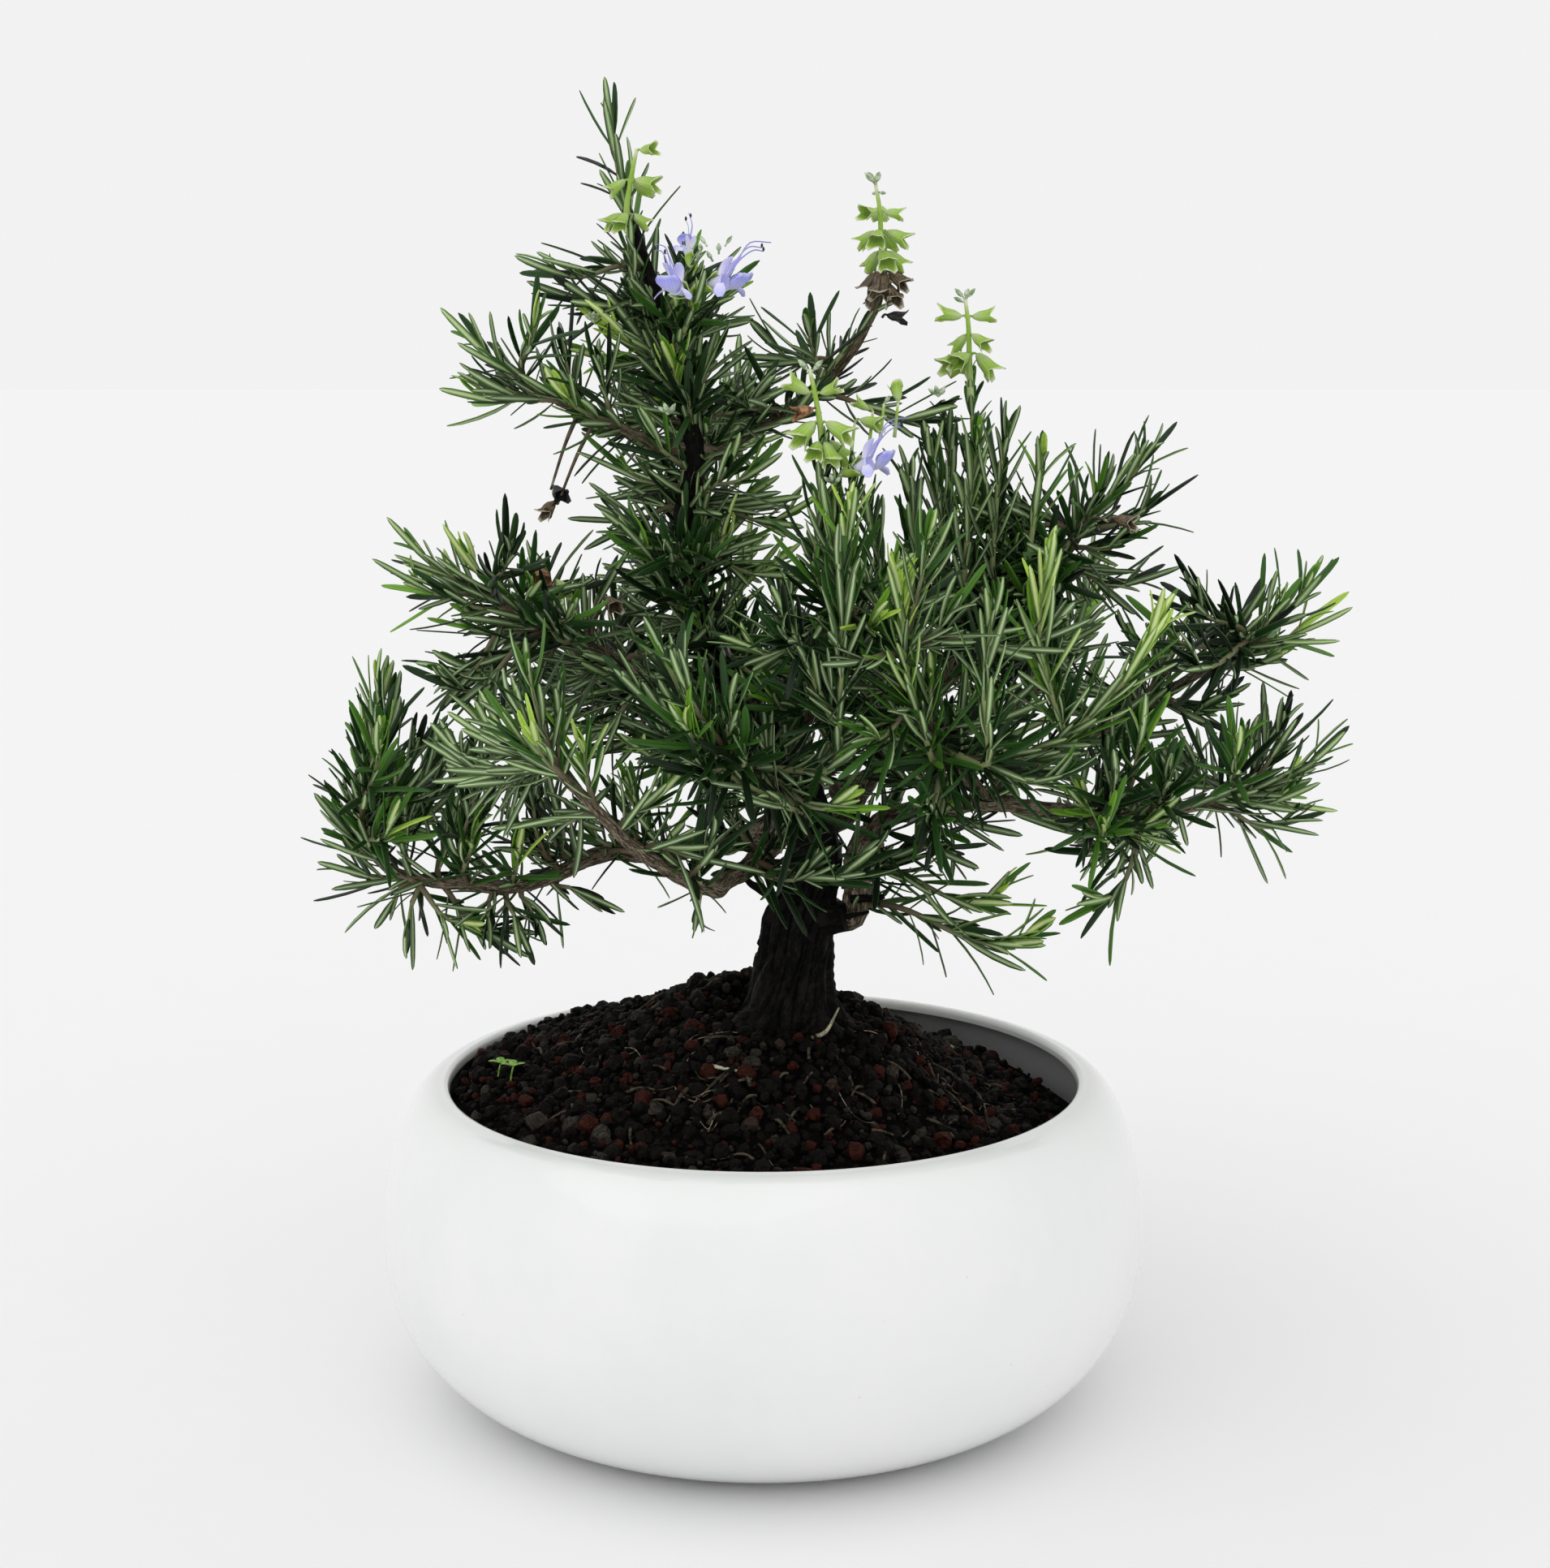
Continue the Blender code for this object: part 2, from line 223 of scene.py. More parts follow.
def startGeometry(name, inputs):
    group = bpy.data.node_groups.new(name, "GeometryNodeTree")
    group.interface.new_socket("Geometry", in_out="INPUT", socket_type="NodeSocketGeometry")
    for label, (kind, value) in inputs.items():
        socket = group.interface.new_socket(label, in_out="INPUT", socket_type="NodeSocket" + kind)
        if value is not None:
            socket.default_value = value
    group.interface.new_socket("Geometry", in_out="OUTPUT", socket_type="NodeSocketGeometry")
    tree = Tree(group)
    return group, tree, tree.add("NodeGroupInput")


def endGeometry(tree, geometry, material):
    real = tree.add("GeometryNodeRealizeInstances", None, {"Geometry": geometry})["Geometry"]
    painted = tree.add("GeometryNodeSetMaterial", None, {"Geometry": real, "Material": material})["Geometry"]
    tree.add("NodeGroupOutput", None, {"Geometry": painted})


def store(tree, geometry, name, value, domain="POINT", kind="FLOAT"):
    settings = {"data_type": kind, "domain": domain}
    sockets = {"Geometry": geometry, "Name": name, "Value": value}
    return tree.add("GeometryNodeStoreNamedAttribute", settings, sockets)["Geometry"]


def recall(tree, name, kind="FLOAT"):
    return tree.add("GeometryNodeInputNamedAttribute", {"data_type": kind}, {"Name": name})["Attribute"]


def chance(tree, low, high, seed, kind="FLOAT"):
    return tree.add("FunctionNodeRandomValue", {"data_type": kind},
                    {"Min": low, "Max": high, "Seed": seed})["Value"]


def grow(name, mesh, group, inputs):
    piece = bpy.data.objects.new(name, mesh)
    bpy.context.scene.collection.objects.link(piece)
    modifier = piece.modifiers.new("growth", "NODES")
    modifier.node_group = group
    for label, value in inputs.items():
        item = next(i for i in group.interface.items_tree if i.name == label and i.in_out == "INPUT")
        modifier[item.identifier] = value
    evaluated = piece.evaluated_get(bpy.context.evaluated_depsgraph_get())
    grown = bpy.data.meshes.new_from_object(evaluated)
    piece.modifiers.clear()
    piece.data = grown
    return piece


def meshPiece(name, points, faces, material=None, smooth=True):
    mesh = bpy.data.meshes.new(name)
    mesh.from_pydata([Vector(p) * mm for p in points], [], faces)
    mesh.validate()
    if material:
        mesh.materials.append(material)
    mesh.shade_smooth() if smooth else mesh.shade_flat()
    piece = bpy.data.objects.new(name, mesh)
    bpy.context.scene.collection.objects.link(piece)
    return piece


def joinPieces(name, pieces):
    with bpy.context.temp_override(active_object=pieces[0], selected_editable_objects=pieces):
        bpy.ops.object.join()
    pieces[0].name = name
    pieces[0].data.name = name
    return pieces[0]


def lineMesh(name, lines):
    # each line is a list of (point in mm, {attribute: value})
    points = [Vector(p) * mm for line in lines for p, _ in line]
    edges = []
    count = 0
    for line in lines:
        edges += [(count + i, count + i + 1) for i in range(len(line) - 1)]
        count += len(line)
    mesh = bpy.data.meshes.new(name)
    mesh.from_pydata(points, edges, [])
    for key in lines[0][0][1]:
        layer = mesh.attributes.new(key, "FLOAT", "POINT")
        layer.data.foreach_set("value", [values[key] for line in lines for _, values in line])
    return mesh


def capitals(words):
    return "".join(word.capitalize() for word in words)


def smoothRoute(route, perSpan=6):
    # a curve through every point of the route
    points = [Vector(p) for p in route]
    ends = [points[0] * 2 - points[1]] + points + [points[-1] * 2 - points[-2]]
    result = []
    for i in range(len(points) - 1):
        a, b, c, d = ends[i:i + 4]
        for k in range(perSpan):
            t = k / perSpan
            result.append(0.5 * (2 * b + (c - a) * t + (2 * a - 5 * b + 4 * c - d) * t * t
                                 + (3 * b - a - 3 * c + d) * t * t * t))
    return result + [points[-1]]


# camera, light and floor

cameraSettings = {"place": (0.0034, -0.7545, 0.3137), "tiltDown": 0.178, "lens": 61.7}
studio = {"sky": 0.89, "floorTone": 0.88, "key": 0.5, "keyFrom": (-0.35, -0.5, 1.2), "keySoftness": 1.3,
          "floorGrain": 0.006, "floorReach": 9e3}

camera = bpy.data.objects.new("camera", bpy.data.cameras.new("camera"))
bpy.context.scene.collection.objects.link(camera)
camera.location = cameraSettings["place"]
camera.rotation_euler = (math.pi / 2 - cameraSettings["tiltDown"], 0, 0)
camera.data.lens = cameraSettings["lens"]
bpy.context.scene.camera = camera
bpy.context.scene.view_settings.view_transform = "Standard"

key = bpy.data.lights.new("keyLight", "SUN")
key.energy = studio["key"]
key.angle = studio["keySoftness"]
keyHolder = bpy.data.objects.new("keyLight", key)
bpy.context.scene.collection.objects.link(keyHolder)
keyHolder.rotation_euler = (-Vector(studio["keyFrom"])).to_track_quat("-Z", "Y").to_euler()
world = bpy.data.worlds.new("studioSky")
bpy.context.scene.world = world
world.use_nodes = True
world.node_tree.nodes["Background"].inputs["Color"].default_value = (studio["sky"],) * 3 + (1,)

floorPaint, tree = startMaterial("floorPaint")
grain = tree.noise(objectPlace(tree), 30, 3)["Fac"]
tones = [(studio["floorTone"] + change,) * 3 for change in (-studio["floorGrain"], studio["floorGrain"])]
floorTone = tree.mix(grain, *tones)
endMaterial(tree, {"Base Color": floorTone, "Roughness": 0.9, "Specular IOR Level": 0.1})
corners = [(x * studio["floorReach"], y * studio["floorReach"], 0) for x,
           y in ((-1, -1), (1, -1), (1, 1), (-1, 1))]
floor = meshPiece("floor", corners, [(0, 1, 2, 3)], floorPaint)
print("camera, light and floor ready")


# bowl

bowlShape = {"radius": 110, "height": 93, "belly": 47, "foot": 66, "mouth": 90.5, "outerTop": 93.03,
             "lip": 90.7, "lipDrop": 0.83, "innerTop": 90.24, "innerBelly": 105.4, "innerFoot": 58,
             "floor": 6.5,
             "sides": 180, "wave": 0.35, "waveFrom": 20, "footRound": 1.2}
drainShape = {"hole": 5.5, "circle": 27, "count": 3, "sides": 32, "from": -3, "to": 12}


def quarter(start, end, steps, bulgeFirst):
    # quarter of an ellipse between two profile points; the first is left out
    (r0, z0), (r1, z1) = start, end
    points = []
    for i in range(1, steps + 1):
        a = math.pi / 2 * i / steps
        s, c = math.sin(a), 1 - math.cos(a)
        points.append((r0 + (r1 - r0) * (s if bulgeFirst else c), z0 + (z1 - z0) * (c if bulgeFirst else s)))
    return points


def bowlProfile(b):
    line = [(0, 0), (30, 0), (b["foot"] - 8, 0), (b["foot"] - b["footRound"], 0)]
    line += [(b["foot"] - 0.35, 0.12), (b["foot"] + 0.35, 0.45)]
    line += [p for p in quarter((b["foot"], 0), (b["radius"], b["belly"]), 26, True) if p[1] > 0.9]
    line += quarter((b["radius"], b["belly"]), (b["outerTop"], b["height"] - 0.35), 26, False)
    line += [(b["outerTop"] - 0.7, b["height"] - 0.02), (92.0, b["height"]), (91.2, b["height"] - 0.25)]
    line += [(b["lip"], b["height"] - b["lipDrop"]), (b["mouth"] - 0.05, b["height"] - 1.7),
             (b["mouth"], b["innerTop"])]
    line += [(r, z) for r, z in quarter((b["innerBelly"], b["belly"]), (b["mouth"], b["innerTop"]), 16,
                                        False)][-2::-1]
    line += [(b["innerBelly"], b["belly"])]
    line += quarter((b["innerBelly"], b["belly"]), (b["innerFoot"], b["floor"]), 16, False)
    line += [(40, b["floor"]), (0, b["floor"])]
    return line


def spin(name, profile, sides, material, wobble):
    points = []
    faces = []
    rings = []
    for r, z in profile:
        if r == 0:
            rings.append([len(points)])
            points.append((0, 0, z))
            continue
        rings.append(list(range(len(points), len(points) + sides)))
        for i in range(sides):
            a = 2 * math.pi * i / sides
            out, lift = wobble(a, r, z)
            points.append(((r + out) * math.cos(a), (r + out) * math.sin(a), z + lift))
    for low, high in zip(rings, rings[1:]):
        for i in range(sides):
            j = (i + 1) % sides
            if len(low) == 1:
                faces.append((low[0], high[j], high[i]))
            elif len(high) == 1:
                faces.append((low[i], low[j], high[0]))
            else:
                faces.append((low[i], low[j], high[j], high[i]))
    return meshPiece(name, points, faces, material)


def glazeMaterial():
    material, tree = startMaterial("whiteGlaze")
    place = objectPlace(tree)
    height = tree.split(place)["Z"]
    cloud = tree.noise(place, 14, 5)["Fac"]
    fine = tree.noise(place, 900, 2)["Fac"]
    colour = tree.mix(tree.step(cloud, 0.3, 0.7), tint(236, 238, 237), tint(242, 243, 242))
    specks = tree.step(tree.add("ShaderNodeTexVoronoi", None, {"Vector": place, "Scale": 160})["Distance"],
                       0.055, 0.02)
    colour = tree.mix(specks * tree.step(cloud, 0.56, 0.62) * 0.5, colour, tint(168, 160, 148))
    bare = tree.step(height + (cloud - 0.5) * 0.0012, 0.0014, 0.0008)
    colour = tree.mix(bare, colour, tree.mix(fine, tint(206, 200, 190), tint(226, 221, 212)))
    rough = 0.13 + tree.step(cloud, 0.4, 0.8) * 0.05 + bare * 0.6
    waves = tree.noise(place, 55, 2)["Fac"] * 0.8 + fine * 0.04
    endMaterial(tree, {"Base Color": colour, "Roughness": rough, "IOR": 1.5,
                       "Coat Weight": 0.25 - bare * 0.25,
                       "Coat Roughness": 0.06}, waves, 0.08, 0.0006)
    return material


def makeBowl():
    b = bowlShape
    wave = b["wave"]

    def wobble(a, r, z):
        share = max(0, z - b["waveFrom"]) / (b["height"] - b["waveFrom"]) if r > 60 else 0
        out = share * wave * (math.sin(2 * a + 0.7) + 0.5 * math.sin(3 * a + 2))
        lift = share * 0.3 * wave * math.sin(3 * a + 1.1) if z > 80 else 0
        return out, lift

    bowl = spin("bowlBody", bowlProfile(b), b["sides"], glazeMaterial(), wobble)
    cutters = []
    d = drainShape
    sides = d["sides"]
    for i in range(d["count"]):
        a = math.pi / 2 + 2 * math.pi * i / d["count"]
        x, y = d["circle"] * math.cos(a), d["circle"] * math.sin(a)
        ring = [2 * math.pi * k / sides for k in range(sides)]
        points = [(x + d["hole"] * math.cos(t), y + d["hole"] * math.sin(t), z)
                  for z in (d["from"], d["to"]) for t in ring]
        faces = [(k, (k + 1) % sides, sides + (k + 1) % sides, sides + k) for k in range(sides)]
        faces += [tuple(range(sides - 1, -1, -1)), tuple(range(sides, 2 * sides))]
        cutters.append(meshPiece("cutter", points, faces, None, False))
    cutter = joinPieces("cutter", cutters)
    cut = bowl.modifiers.new("drain", "BOOLEAN")
    cut.object = cutter
    cut.solver = "EXACT"
    done = bpy.data.meshes.new_from_object(bowl.evaluated_get(bpy.context.evaluated_depsgraph_get()))
    bowl.modifiers.clear()
    bowl.data = done
    done.set_sharp_from_angle(angle=math.radians(50))
    bpy.data.objects.remove(cutter)
    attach(bowl, "root")
    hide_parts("bowl")


makeBowl()
print("bowl ready")


# drain mesh under the soil

def drainMeshMaterial():
    material, tree = startMaterial("drainWeave")
    place = tree.split(objectPlace(tree))
    wires = ((place["X"] * 1600).math("SINE") * (place["Y"] * 1600).math("SINE")).math("ABSOLUTE")
    colour = tree.mix(tree.step(wires, 0.2, 0.6), tint(30, 32, 30), tint(12, 12, 12))
    endMaterial(tree, {"Base Color": colour, "Roughness": 0.55}, wires, 0.8, 0.0004)
    return material


frame["nodes"]["drain_mesh"].data.materials.clear()
frame["nodes"]["drain_mesh"].data.materials.append(drainMeshMaterial())


# soil

soilShape = {"trunkX": 8, "top": 107.5, "edge": 85.0, "tilt": 6.5, "highSide": math.radians(165),
             "plateau": 19,
             "mouth": 90.5, "ridge": (-8, 32), "ridgeHeight": 7.5, "ridgeWidth": 32, "ridgeFrom": 16,
             "spread": 42, "spreadChange": 14, "atWall": 87.6, "wallSlope": 0.7}
granules = {"large": 4.3, "largeSpacing": 3.3, "small": 2.2, "smallSpacing": 1.9, "seed": 11,
            "density": 2.2e5, "smallest": 0.62, "largest": 1.5, "wallGap": 3.2, "lift": 0.4, "kinds": 7}


def soilHeight(x, y):
    s = soilShape
    toward = math.cos(math.atan2(y, x) - s["highSide"])
    bed = s["edge"] + s["tilt"] * toward * math.hypot(x, y) / s["mouth"]
    dx = x - s["trunkX"]
    spread = s["spread"] + s["spreadChange"] * math.cos(math.atan2(y, dx) - s["highSide"])
    fall = max(0, math.hypot(dx, y) - s["plateau"]) / spread
    mound = bed + (s["top"] - bed) * math.exp(-fall ** 2)
    share = min(1, max(0, (math.hypot(dx, y) - s["ridgeFrom"]) / s["ridgeFrom"]))
    away = math.hypot(x - s["ridge"][0], y - s["ridge"][1]) / s["ridgeWidth"]
    height = mound + s["ridgeHeight"] * share ** 2 * (3 - 2 * share) * math.exp(-away ** 2)
    return min(height, s["atWall"] + s["wallSlope"] * (s["mouth"] - math.hypot(x, y)))


def soilMaterial():
    material, tree = startMaterial("soilBed")
    place = objectPlace(tree)
    clumps = tree.noise(place, 260, 6)["Fac"]
    colour = tree.ramp(clumps, [(0.3, tint(3, 2, 2)), (0.55, tint(9, 7, 6)), (0.75, tint(22, 16, 13))])
    endMaterial(tree, {"Base Color": colour, "Roughness": 0.95, "Specular IOR Level": 0.05}, clumps, 1.0,
                0.002)
    return material


def lavaMaterial():
    # colour follows the map: 8 by 8 patches, each the finish of one kind of granule
    material, tree = startMaterial("lavaGranules")
    spot = tree.add("ShaderNodeUVMap", {"uv_map": "OFBake"})["UV"]
    cell = spot.times(8).vector("FLOOR")
    kind = tree.add("ShaderNodeTexWhiteNoise", {"noise_dimensions": "2D"}, {"Vector": cell})["Value"]
    pores = tree.noise(spot, 70, 5, 0.7)["Fac"]
    dark = tree.ramp(pores, [(0.35, tint(4, 3, 3)), (0.52, tint(13, 10, 8)), (0.7, tint(34, 27, 22))])
    rust = tree.ramp(pores, [(0.35, tint(20, 8, 5)), (0.55, tint(56, 22, 14)), (0.75, tint(96, 46, 32))])
    tan = tree.ramp(pores, [(0.35, tint(24, 22, 19)), (0.55, tint(52, 48, 42)), (0.75, tint(92, 86, 76))])
    colour = tree.mix(tree.step(kind, 0.76, 0.77), dark, rust)
    colour = tree.mix(tree.step(kind, 0.9, 0.91), colour, tan)
    colour = tree.mix(tree.step(kind, 0.5, 0.0) * 0.5, colour, tint(5, 4, 3))
    bump = tree.noise(objectPlace(tree), 1500, 4)["Fac"]
    endMaterial(tree, {"Base Color": colour, "Roughness": 0.85 - pores * 0.25, "Specular IOR Level": 0.1},
                bump, 0.7, 0.0006)
    return material


def rockShapes(name, count, level, seed):
    # lumpy stones of unit size, with a flat map seen from above
    chosen = random.Random(seed)
    folder = bpy.data.collections.new(name)
    golden = (1 + 5 ** 0.5) / 2
    for number in range(count):
        base = [Vector(p).normalized() for p in (
            (-1, golden, 0), (1, golden, 0), (-1, -golden, 0), (1, -golden, 0), (0, -1, golden),
                                                 (0, 1, golden),
            (0, -1, -golden), (0, 1, -golden), (golden, 0, -1), (golden, 0, 1), (-golden, 0, -1),
                                                 (-golden, 0, 1))]
        faces = [(0, 11, 5), (0, 5, 1), (0, 1, 7), (0, 7, 10), (0, 10, 11), (1, 5, 9), (5, 11, 4),
                 (11, 10, 2),
                 (10, 7, 6), (7, 1, 8), (3, 9, 4), (3, 4, 2), (3, 2, 6), (3, 6, 8), (3, 8, 9), (4, 9, 5),
                 (2, 4, 11),
                 (6, 2, 10), (8, 6, 7), (9, 8, 1)]
        for _ in range(level):
            middles = {}
            finer = []
            for face in faces:
                mids = []
                for a, b in zip(face, face[1:] + face[:1]):
                    key = (min(a, b), max(a, b))
                    if key not in middles:
                        middles[key] = len(base)
                        base.append(((base[a] + base[b]) / 2).normalized())
                    mids.append(middles[key])
                finer += [(face[0], mids[0], mids[2]), (face[1], mids[1], mids[0]),
                          (face[2], mids[2], mids[1]),
                          tuple(mids)]
            faces = finer
        drift = Vector((chosen.random(), chosen.random(), chosen.random())) * 40
        stretch = Vector((chosen.uniform(0.8, 1.15), chosen.uniform(0.75, 1.1), chosen.uniform(0.65, 1)))
        points = []
        for p in base:
            lump = 1 + 0.42 * noise.noise(p * 1.4 + drift) + 0.22 * noise.noise(p * 3.1 + drift)
            points.append(p * lump * stretch * 0.5)
        mesh = bpy.data.meshes.new(name)
        mesh.from_pydata(points, [], faces)
        layer = mesh.uv_layers.new(name="rockPlace")
        for loop in mesh.loops:
            p = base[loop.vertex_index]
            layer.data[loop.index].uv = (0.5 + p.x * 0.46, 0.5 + p.y * 0.46)
        folder.objects.link(bpy.data.objects.new(name, mesh))
    return folder


def granuleTree():
    inputs = {"Spacing": ("Float", 0.004), "Density": ("Float", 5e4), "Stones": ("Collection", None),
              "Smallest": ("Float", 0.5), "Largest": ("Float", 1.0), "Sink": ("Float", 0.001),
              "Seed": ("Int", 1),
              "Paint": ("Material", None)}
    group, tree, given = startGeometry("scatteredGranules", inputs)
    spots = tree.add("GeometryNodeDistributePointsOnFaces", {"distribute_method": "POISSON"},
                     {"Mesh": given["Geometry"], "Distance Min": given["Spacing"],
                      "Density Max": given["Density"],
                      "Seed": given["Seed"]})["Points"]
    shift = chance(tree, -1.0, 1.0, given["Seed"] + 1) * given["Sink"]
    spots = tree.add("GeometryNodeSetPosition", None, {"Geometry": spots,
                                                       "Offset": tree.joined(0, 0, shift)})["Geometry"]
    stones = tree.add("GeometryNodeCollectionInfo", None,
                      {"Collection": given["Stones"], "Separate Children": True,
                       "Reset Children": True})["Instances"]
    turn = chance(tree, (0, 0, 0), (6.28, 6.28, 6.28), given["Seed"] + 2, "FLOAT_VECTOR")
    size = given["Smallest"] + chance(tree, 0.0, 1.0,
                                      given["Seed"] + 3) ** 2 * (given["Largest"] - given["Smallest"])
    placed = tree.add("GeometryNodeInstanceOnPoints", None,
                      {"Points": spots, "Instance": stones, "Pick Instance": True, "Rotation": turn,
                       "Scale": size})
    cell = chance(tree, 0.0, 64.0, given["Seed"] + 4).math("FLOOR")
    kept = store(tree, placed["Instances"], "cell", cell, "INSTANCE")
    real = tree.add("GeometryNodeRealizeInstances", None, {"Geometry": kept})["Geometry"]
    number = recall(tree, "cell")
    own = tree.split(recall(tree, "rockPlace", "FLOAT_VECTOR"))
    column = number.math("MODULO", 8)
    row = (number / 8).math("FLOOR")
    place = tree.joined((column + own["X"]) / 8, (row + own["Y"]) / 8)
    mapped = store(tree, real, "OFBake", place, "CORNER", "FLOAT2")
    endGeometry(tree, mapped, given["Paint"])
    return group


def soilSurface(limit, lift):
    points = []
    faces = []
    rings, sides = 34, 90
    for i in range(rings + 1):
        r = limit * i / rings
        for k in range(sides):
            a = 2 * math.pi * k / sides
            x, y = r * math.cos(a), r * math.sin(a)
            rough = 0.9 * noise.noise(Vector((x, y, 0)) * 0.09)
            points.append((x, y, soilHeight(x, y) + lift + rough))
    for i in range(rings):
        for k in range(sides):
            j = (k + 1) % sides
            faces.append((i * sides + k, (i + 1) * sides + k, (i + 1) * sides + j, i * sides + j))
    return meshPiece("soilSkin", points, faces)


def makeSoil():
    bed = frame["nodes"]["soil"]
    bed.data.materials.clear()
    bed.data.materials.append(soilMaterial())
    lava = lavaMaterial()
    group = granuleTree()
    g = granules
    skin = soilSurface(soilShape["mouth"] - g["wallGap"], g["lift"])
    skinMesh = skin.data
    bpy.data.objects.remove(skin)
    for name, size, gap, level, sink, number in (("largeGranules", "large", "largeSpacing", 1, 1.2, 0),
                                                 ("smallGranules", "small", "smallSpacing", 0, 1.3, 50)):
        stones = rockShapes(name + "Shapes", g["kinds"], level, g["seed"] + number)
        inputs = {"Spacing": g[gap] * mm, "Density": g["density"], "Stones": stones,
                  "Smallest": g[size] * g["smallest"] * mm, "Largest": g[size] * g["largest"] * mm,
                  "Sink": sink * mm, "Seed": g["seed"] + number, "Paint": lava}
        piece = grow(name, skinMesh.copy(), group, inputs)
        for shape in list(stones.objects):
            bpy.data.objects.remove(shape)
        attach(piece, "root")
        print(name, len(piece.data.polygons), "faces")


makeSoil()
print("soil ready")


# wood

woodFinish = {"ridge": 0.16, "flake": 0.07, "sides": 18, "spacing": 0.0011, "seed": 5}
noise.seed_set(woodFinish["seed"])
trunkShape = {"route": [(8, 0, 98), (8, 0, 107.9), (8, 0, 111), (8, 0, 115), (8.4, 0, 123), (9.2, 0, 131),
                        (10.4, 0, 141), (13.2, 0, 149.5), (14.2, 0, 155), (14.8, 0, 161)],
              "radii": [17, 15.5, 14.4, 13.2, 11.3, 10.5, 10.1, 8.8, 8.2, 7.2],
              "sides": 170, "flareTop": 104, "flareFade": 9}
# roots over the soil: direction, reach and radius
rootRuns = ((3.6, 30, 5.2), (4.5, 22, 4.4), (5.4, 26, 4.8), (0.1, 24, 4.6), (1.6, 26, 5), (2.6, 27, 4.4))
# short dead ends on the trunk: route, radius at the start and at the end
trunkStubs = [
    ([(14, -3, 140), (20, -4, 140), (24, -5, 140)], 5.6, 3.8), ([(13, -3, 134), (18, -4, 135)], 4.5, 2.4),
    ([(25, -7, 146), (31, -8, 146.5), (34.5, -8, 147)], 1.3, 0.8),
              ([(24, -8, 141), (30, -10, 143)], 0.9, 0.4),
    ([(31, -8, 146.5), (33, -7, 144.5)], 0.7, 0.5), ([(31, -8, 146.5), (33, -9, 149)], 0.7, 0.4),
    ([(3, -4, 146), (-2, -9, 150), (-5, -12, 153)], 1.6, 0.8)]
# each limb: radius at the start and at the end
limbRadii = {
    "leader": (7.4, 1.3), "branch_left": (4, 1.3), "branch_front_left": (3.3, 1.2),
    "branch_front": (2.4, 1.4), "branch_middle": (2.2, 1.2), "branch_right": (4.4, 1.4),
    "branch_front_right": (2.2, 1.2), "branch_right_rising": (3.4, 1.3), "branch_right_outer": (2.4, 1.2),
    "branch_left_rising": (2.6, 1.2), "branch_back": (3.2, 1.3), "branch_back_left": (2.6, 1.2),
    "branch_back_right": (2.8, 1.2), "branch_top_left": (1.8, 1), "branch_top_right": (2, 1),
    "branch_top_back": (1.7, 1),
}
# how a limb's solid is traced: decimals of a corner and of a centre in mm, how flat an end is, rings per bend
tracing = {"corner": 3, "centre": 1, "flat": 0.01, "step": 2}


def limbRoute(node):
    # the middle line of a limb's CAD solid, ring by ring from its thick end to its thin one, in mm
    mesh = frame["nodes"][node].data
    places = [tuple(round(c / mm, tracing["corner"]) for c in corner.co) for corner in mesh.vertices]
    near = {place: set() for place in places}
    for face in mesh.polygons:
        corners = {places[i] for i in face.vertices}
        for place in corners:
            near[place] |= corners
    end = max(near, key=lambda p: max(math.dist(p, q) for q in near))
    ring = set()
    for face in mesh.polygons:
        if end in [places[i] for i in face.vertices]:
            level = {p for p in near if abs((Vector(p) - Vector(end)).dot(face.normal)) < tracing["flat"]}
            ring = max(ring, level, key=len)
    rings = []
    seen = set()
    while ring:
        rings.append(ring)
        seen |= ring
        ring = set().union(*(near[p] for p in ring)) - seen
    centres = [sum(map(Vector, ring), Vector()) / len(ring) for ring in rings]
    girths = [(Vector(min(ring)) - centre).length for ring, centre in zip(rings, centres)]
    if girths[0] < girths[-1]:
        centres.reverse()
    return [tuple(round(c, tracing["centre"]) for c in centre) for centre in centres[::tracing["step"]]]


branchRoutes = {node: (*radii, limbRoute(node)) for node, radii in limbRadii.items()}


def barkMaterial(name, deep, middle, flake, shine):
    material, tree = startMaterial(name)
    place = attribute(tree, "barkPlace")
    patches = tree.noise(place, 1.6, 6, 0.65, 0.6)["Fac"]
    fissures = tree.noise(place, 4.5, 5, 0.7)["Fac"]
    fine = tree.noise(objectPlace(tree), 900, 3)["Fac"]
    colour = tree.ramp(fissures, [(0.36, deep), (0.5, middle), (0.66, flake)])
    colour = tree.mix(tree.step(patches, 0.5, 0.66) * 0.55, colour, flake)
    colour = tree.mix(tree.step(patches, 0.46, 0.36) * 0.7, colour, deep)
    height = fissures * 0.7 + fine * 0.25 + patches * 0.4
    endMaterial(tree, {"Base Color": colour, "Roughness": shine + fissures * 0.2, "Specular IOR Level": 0.12},
                height, 0.9, 0.0012)
    return material


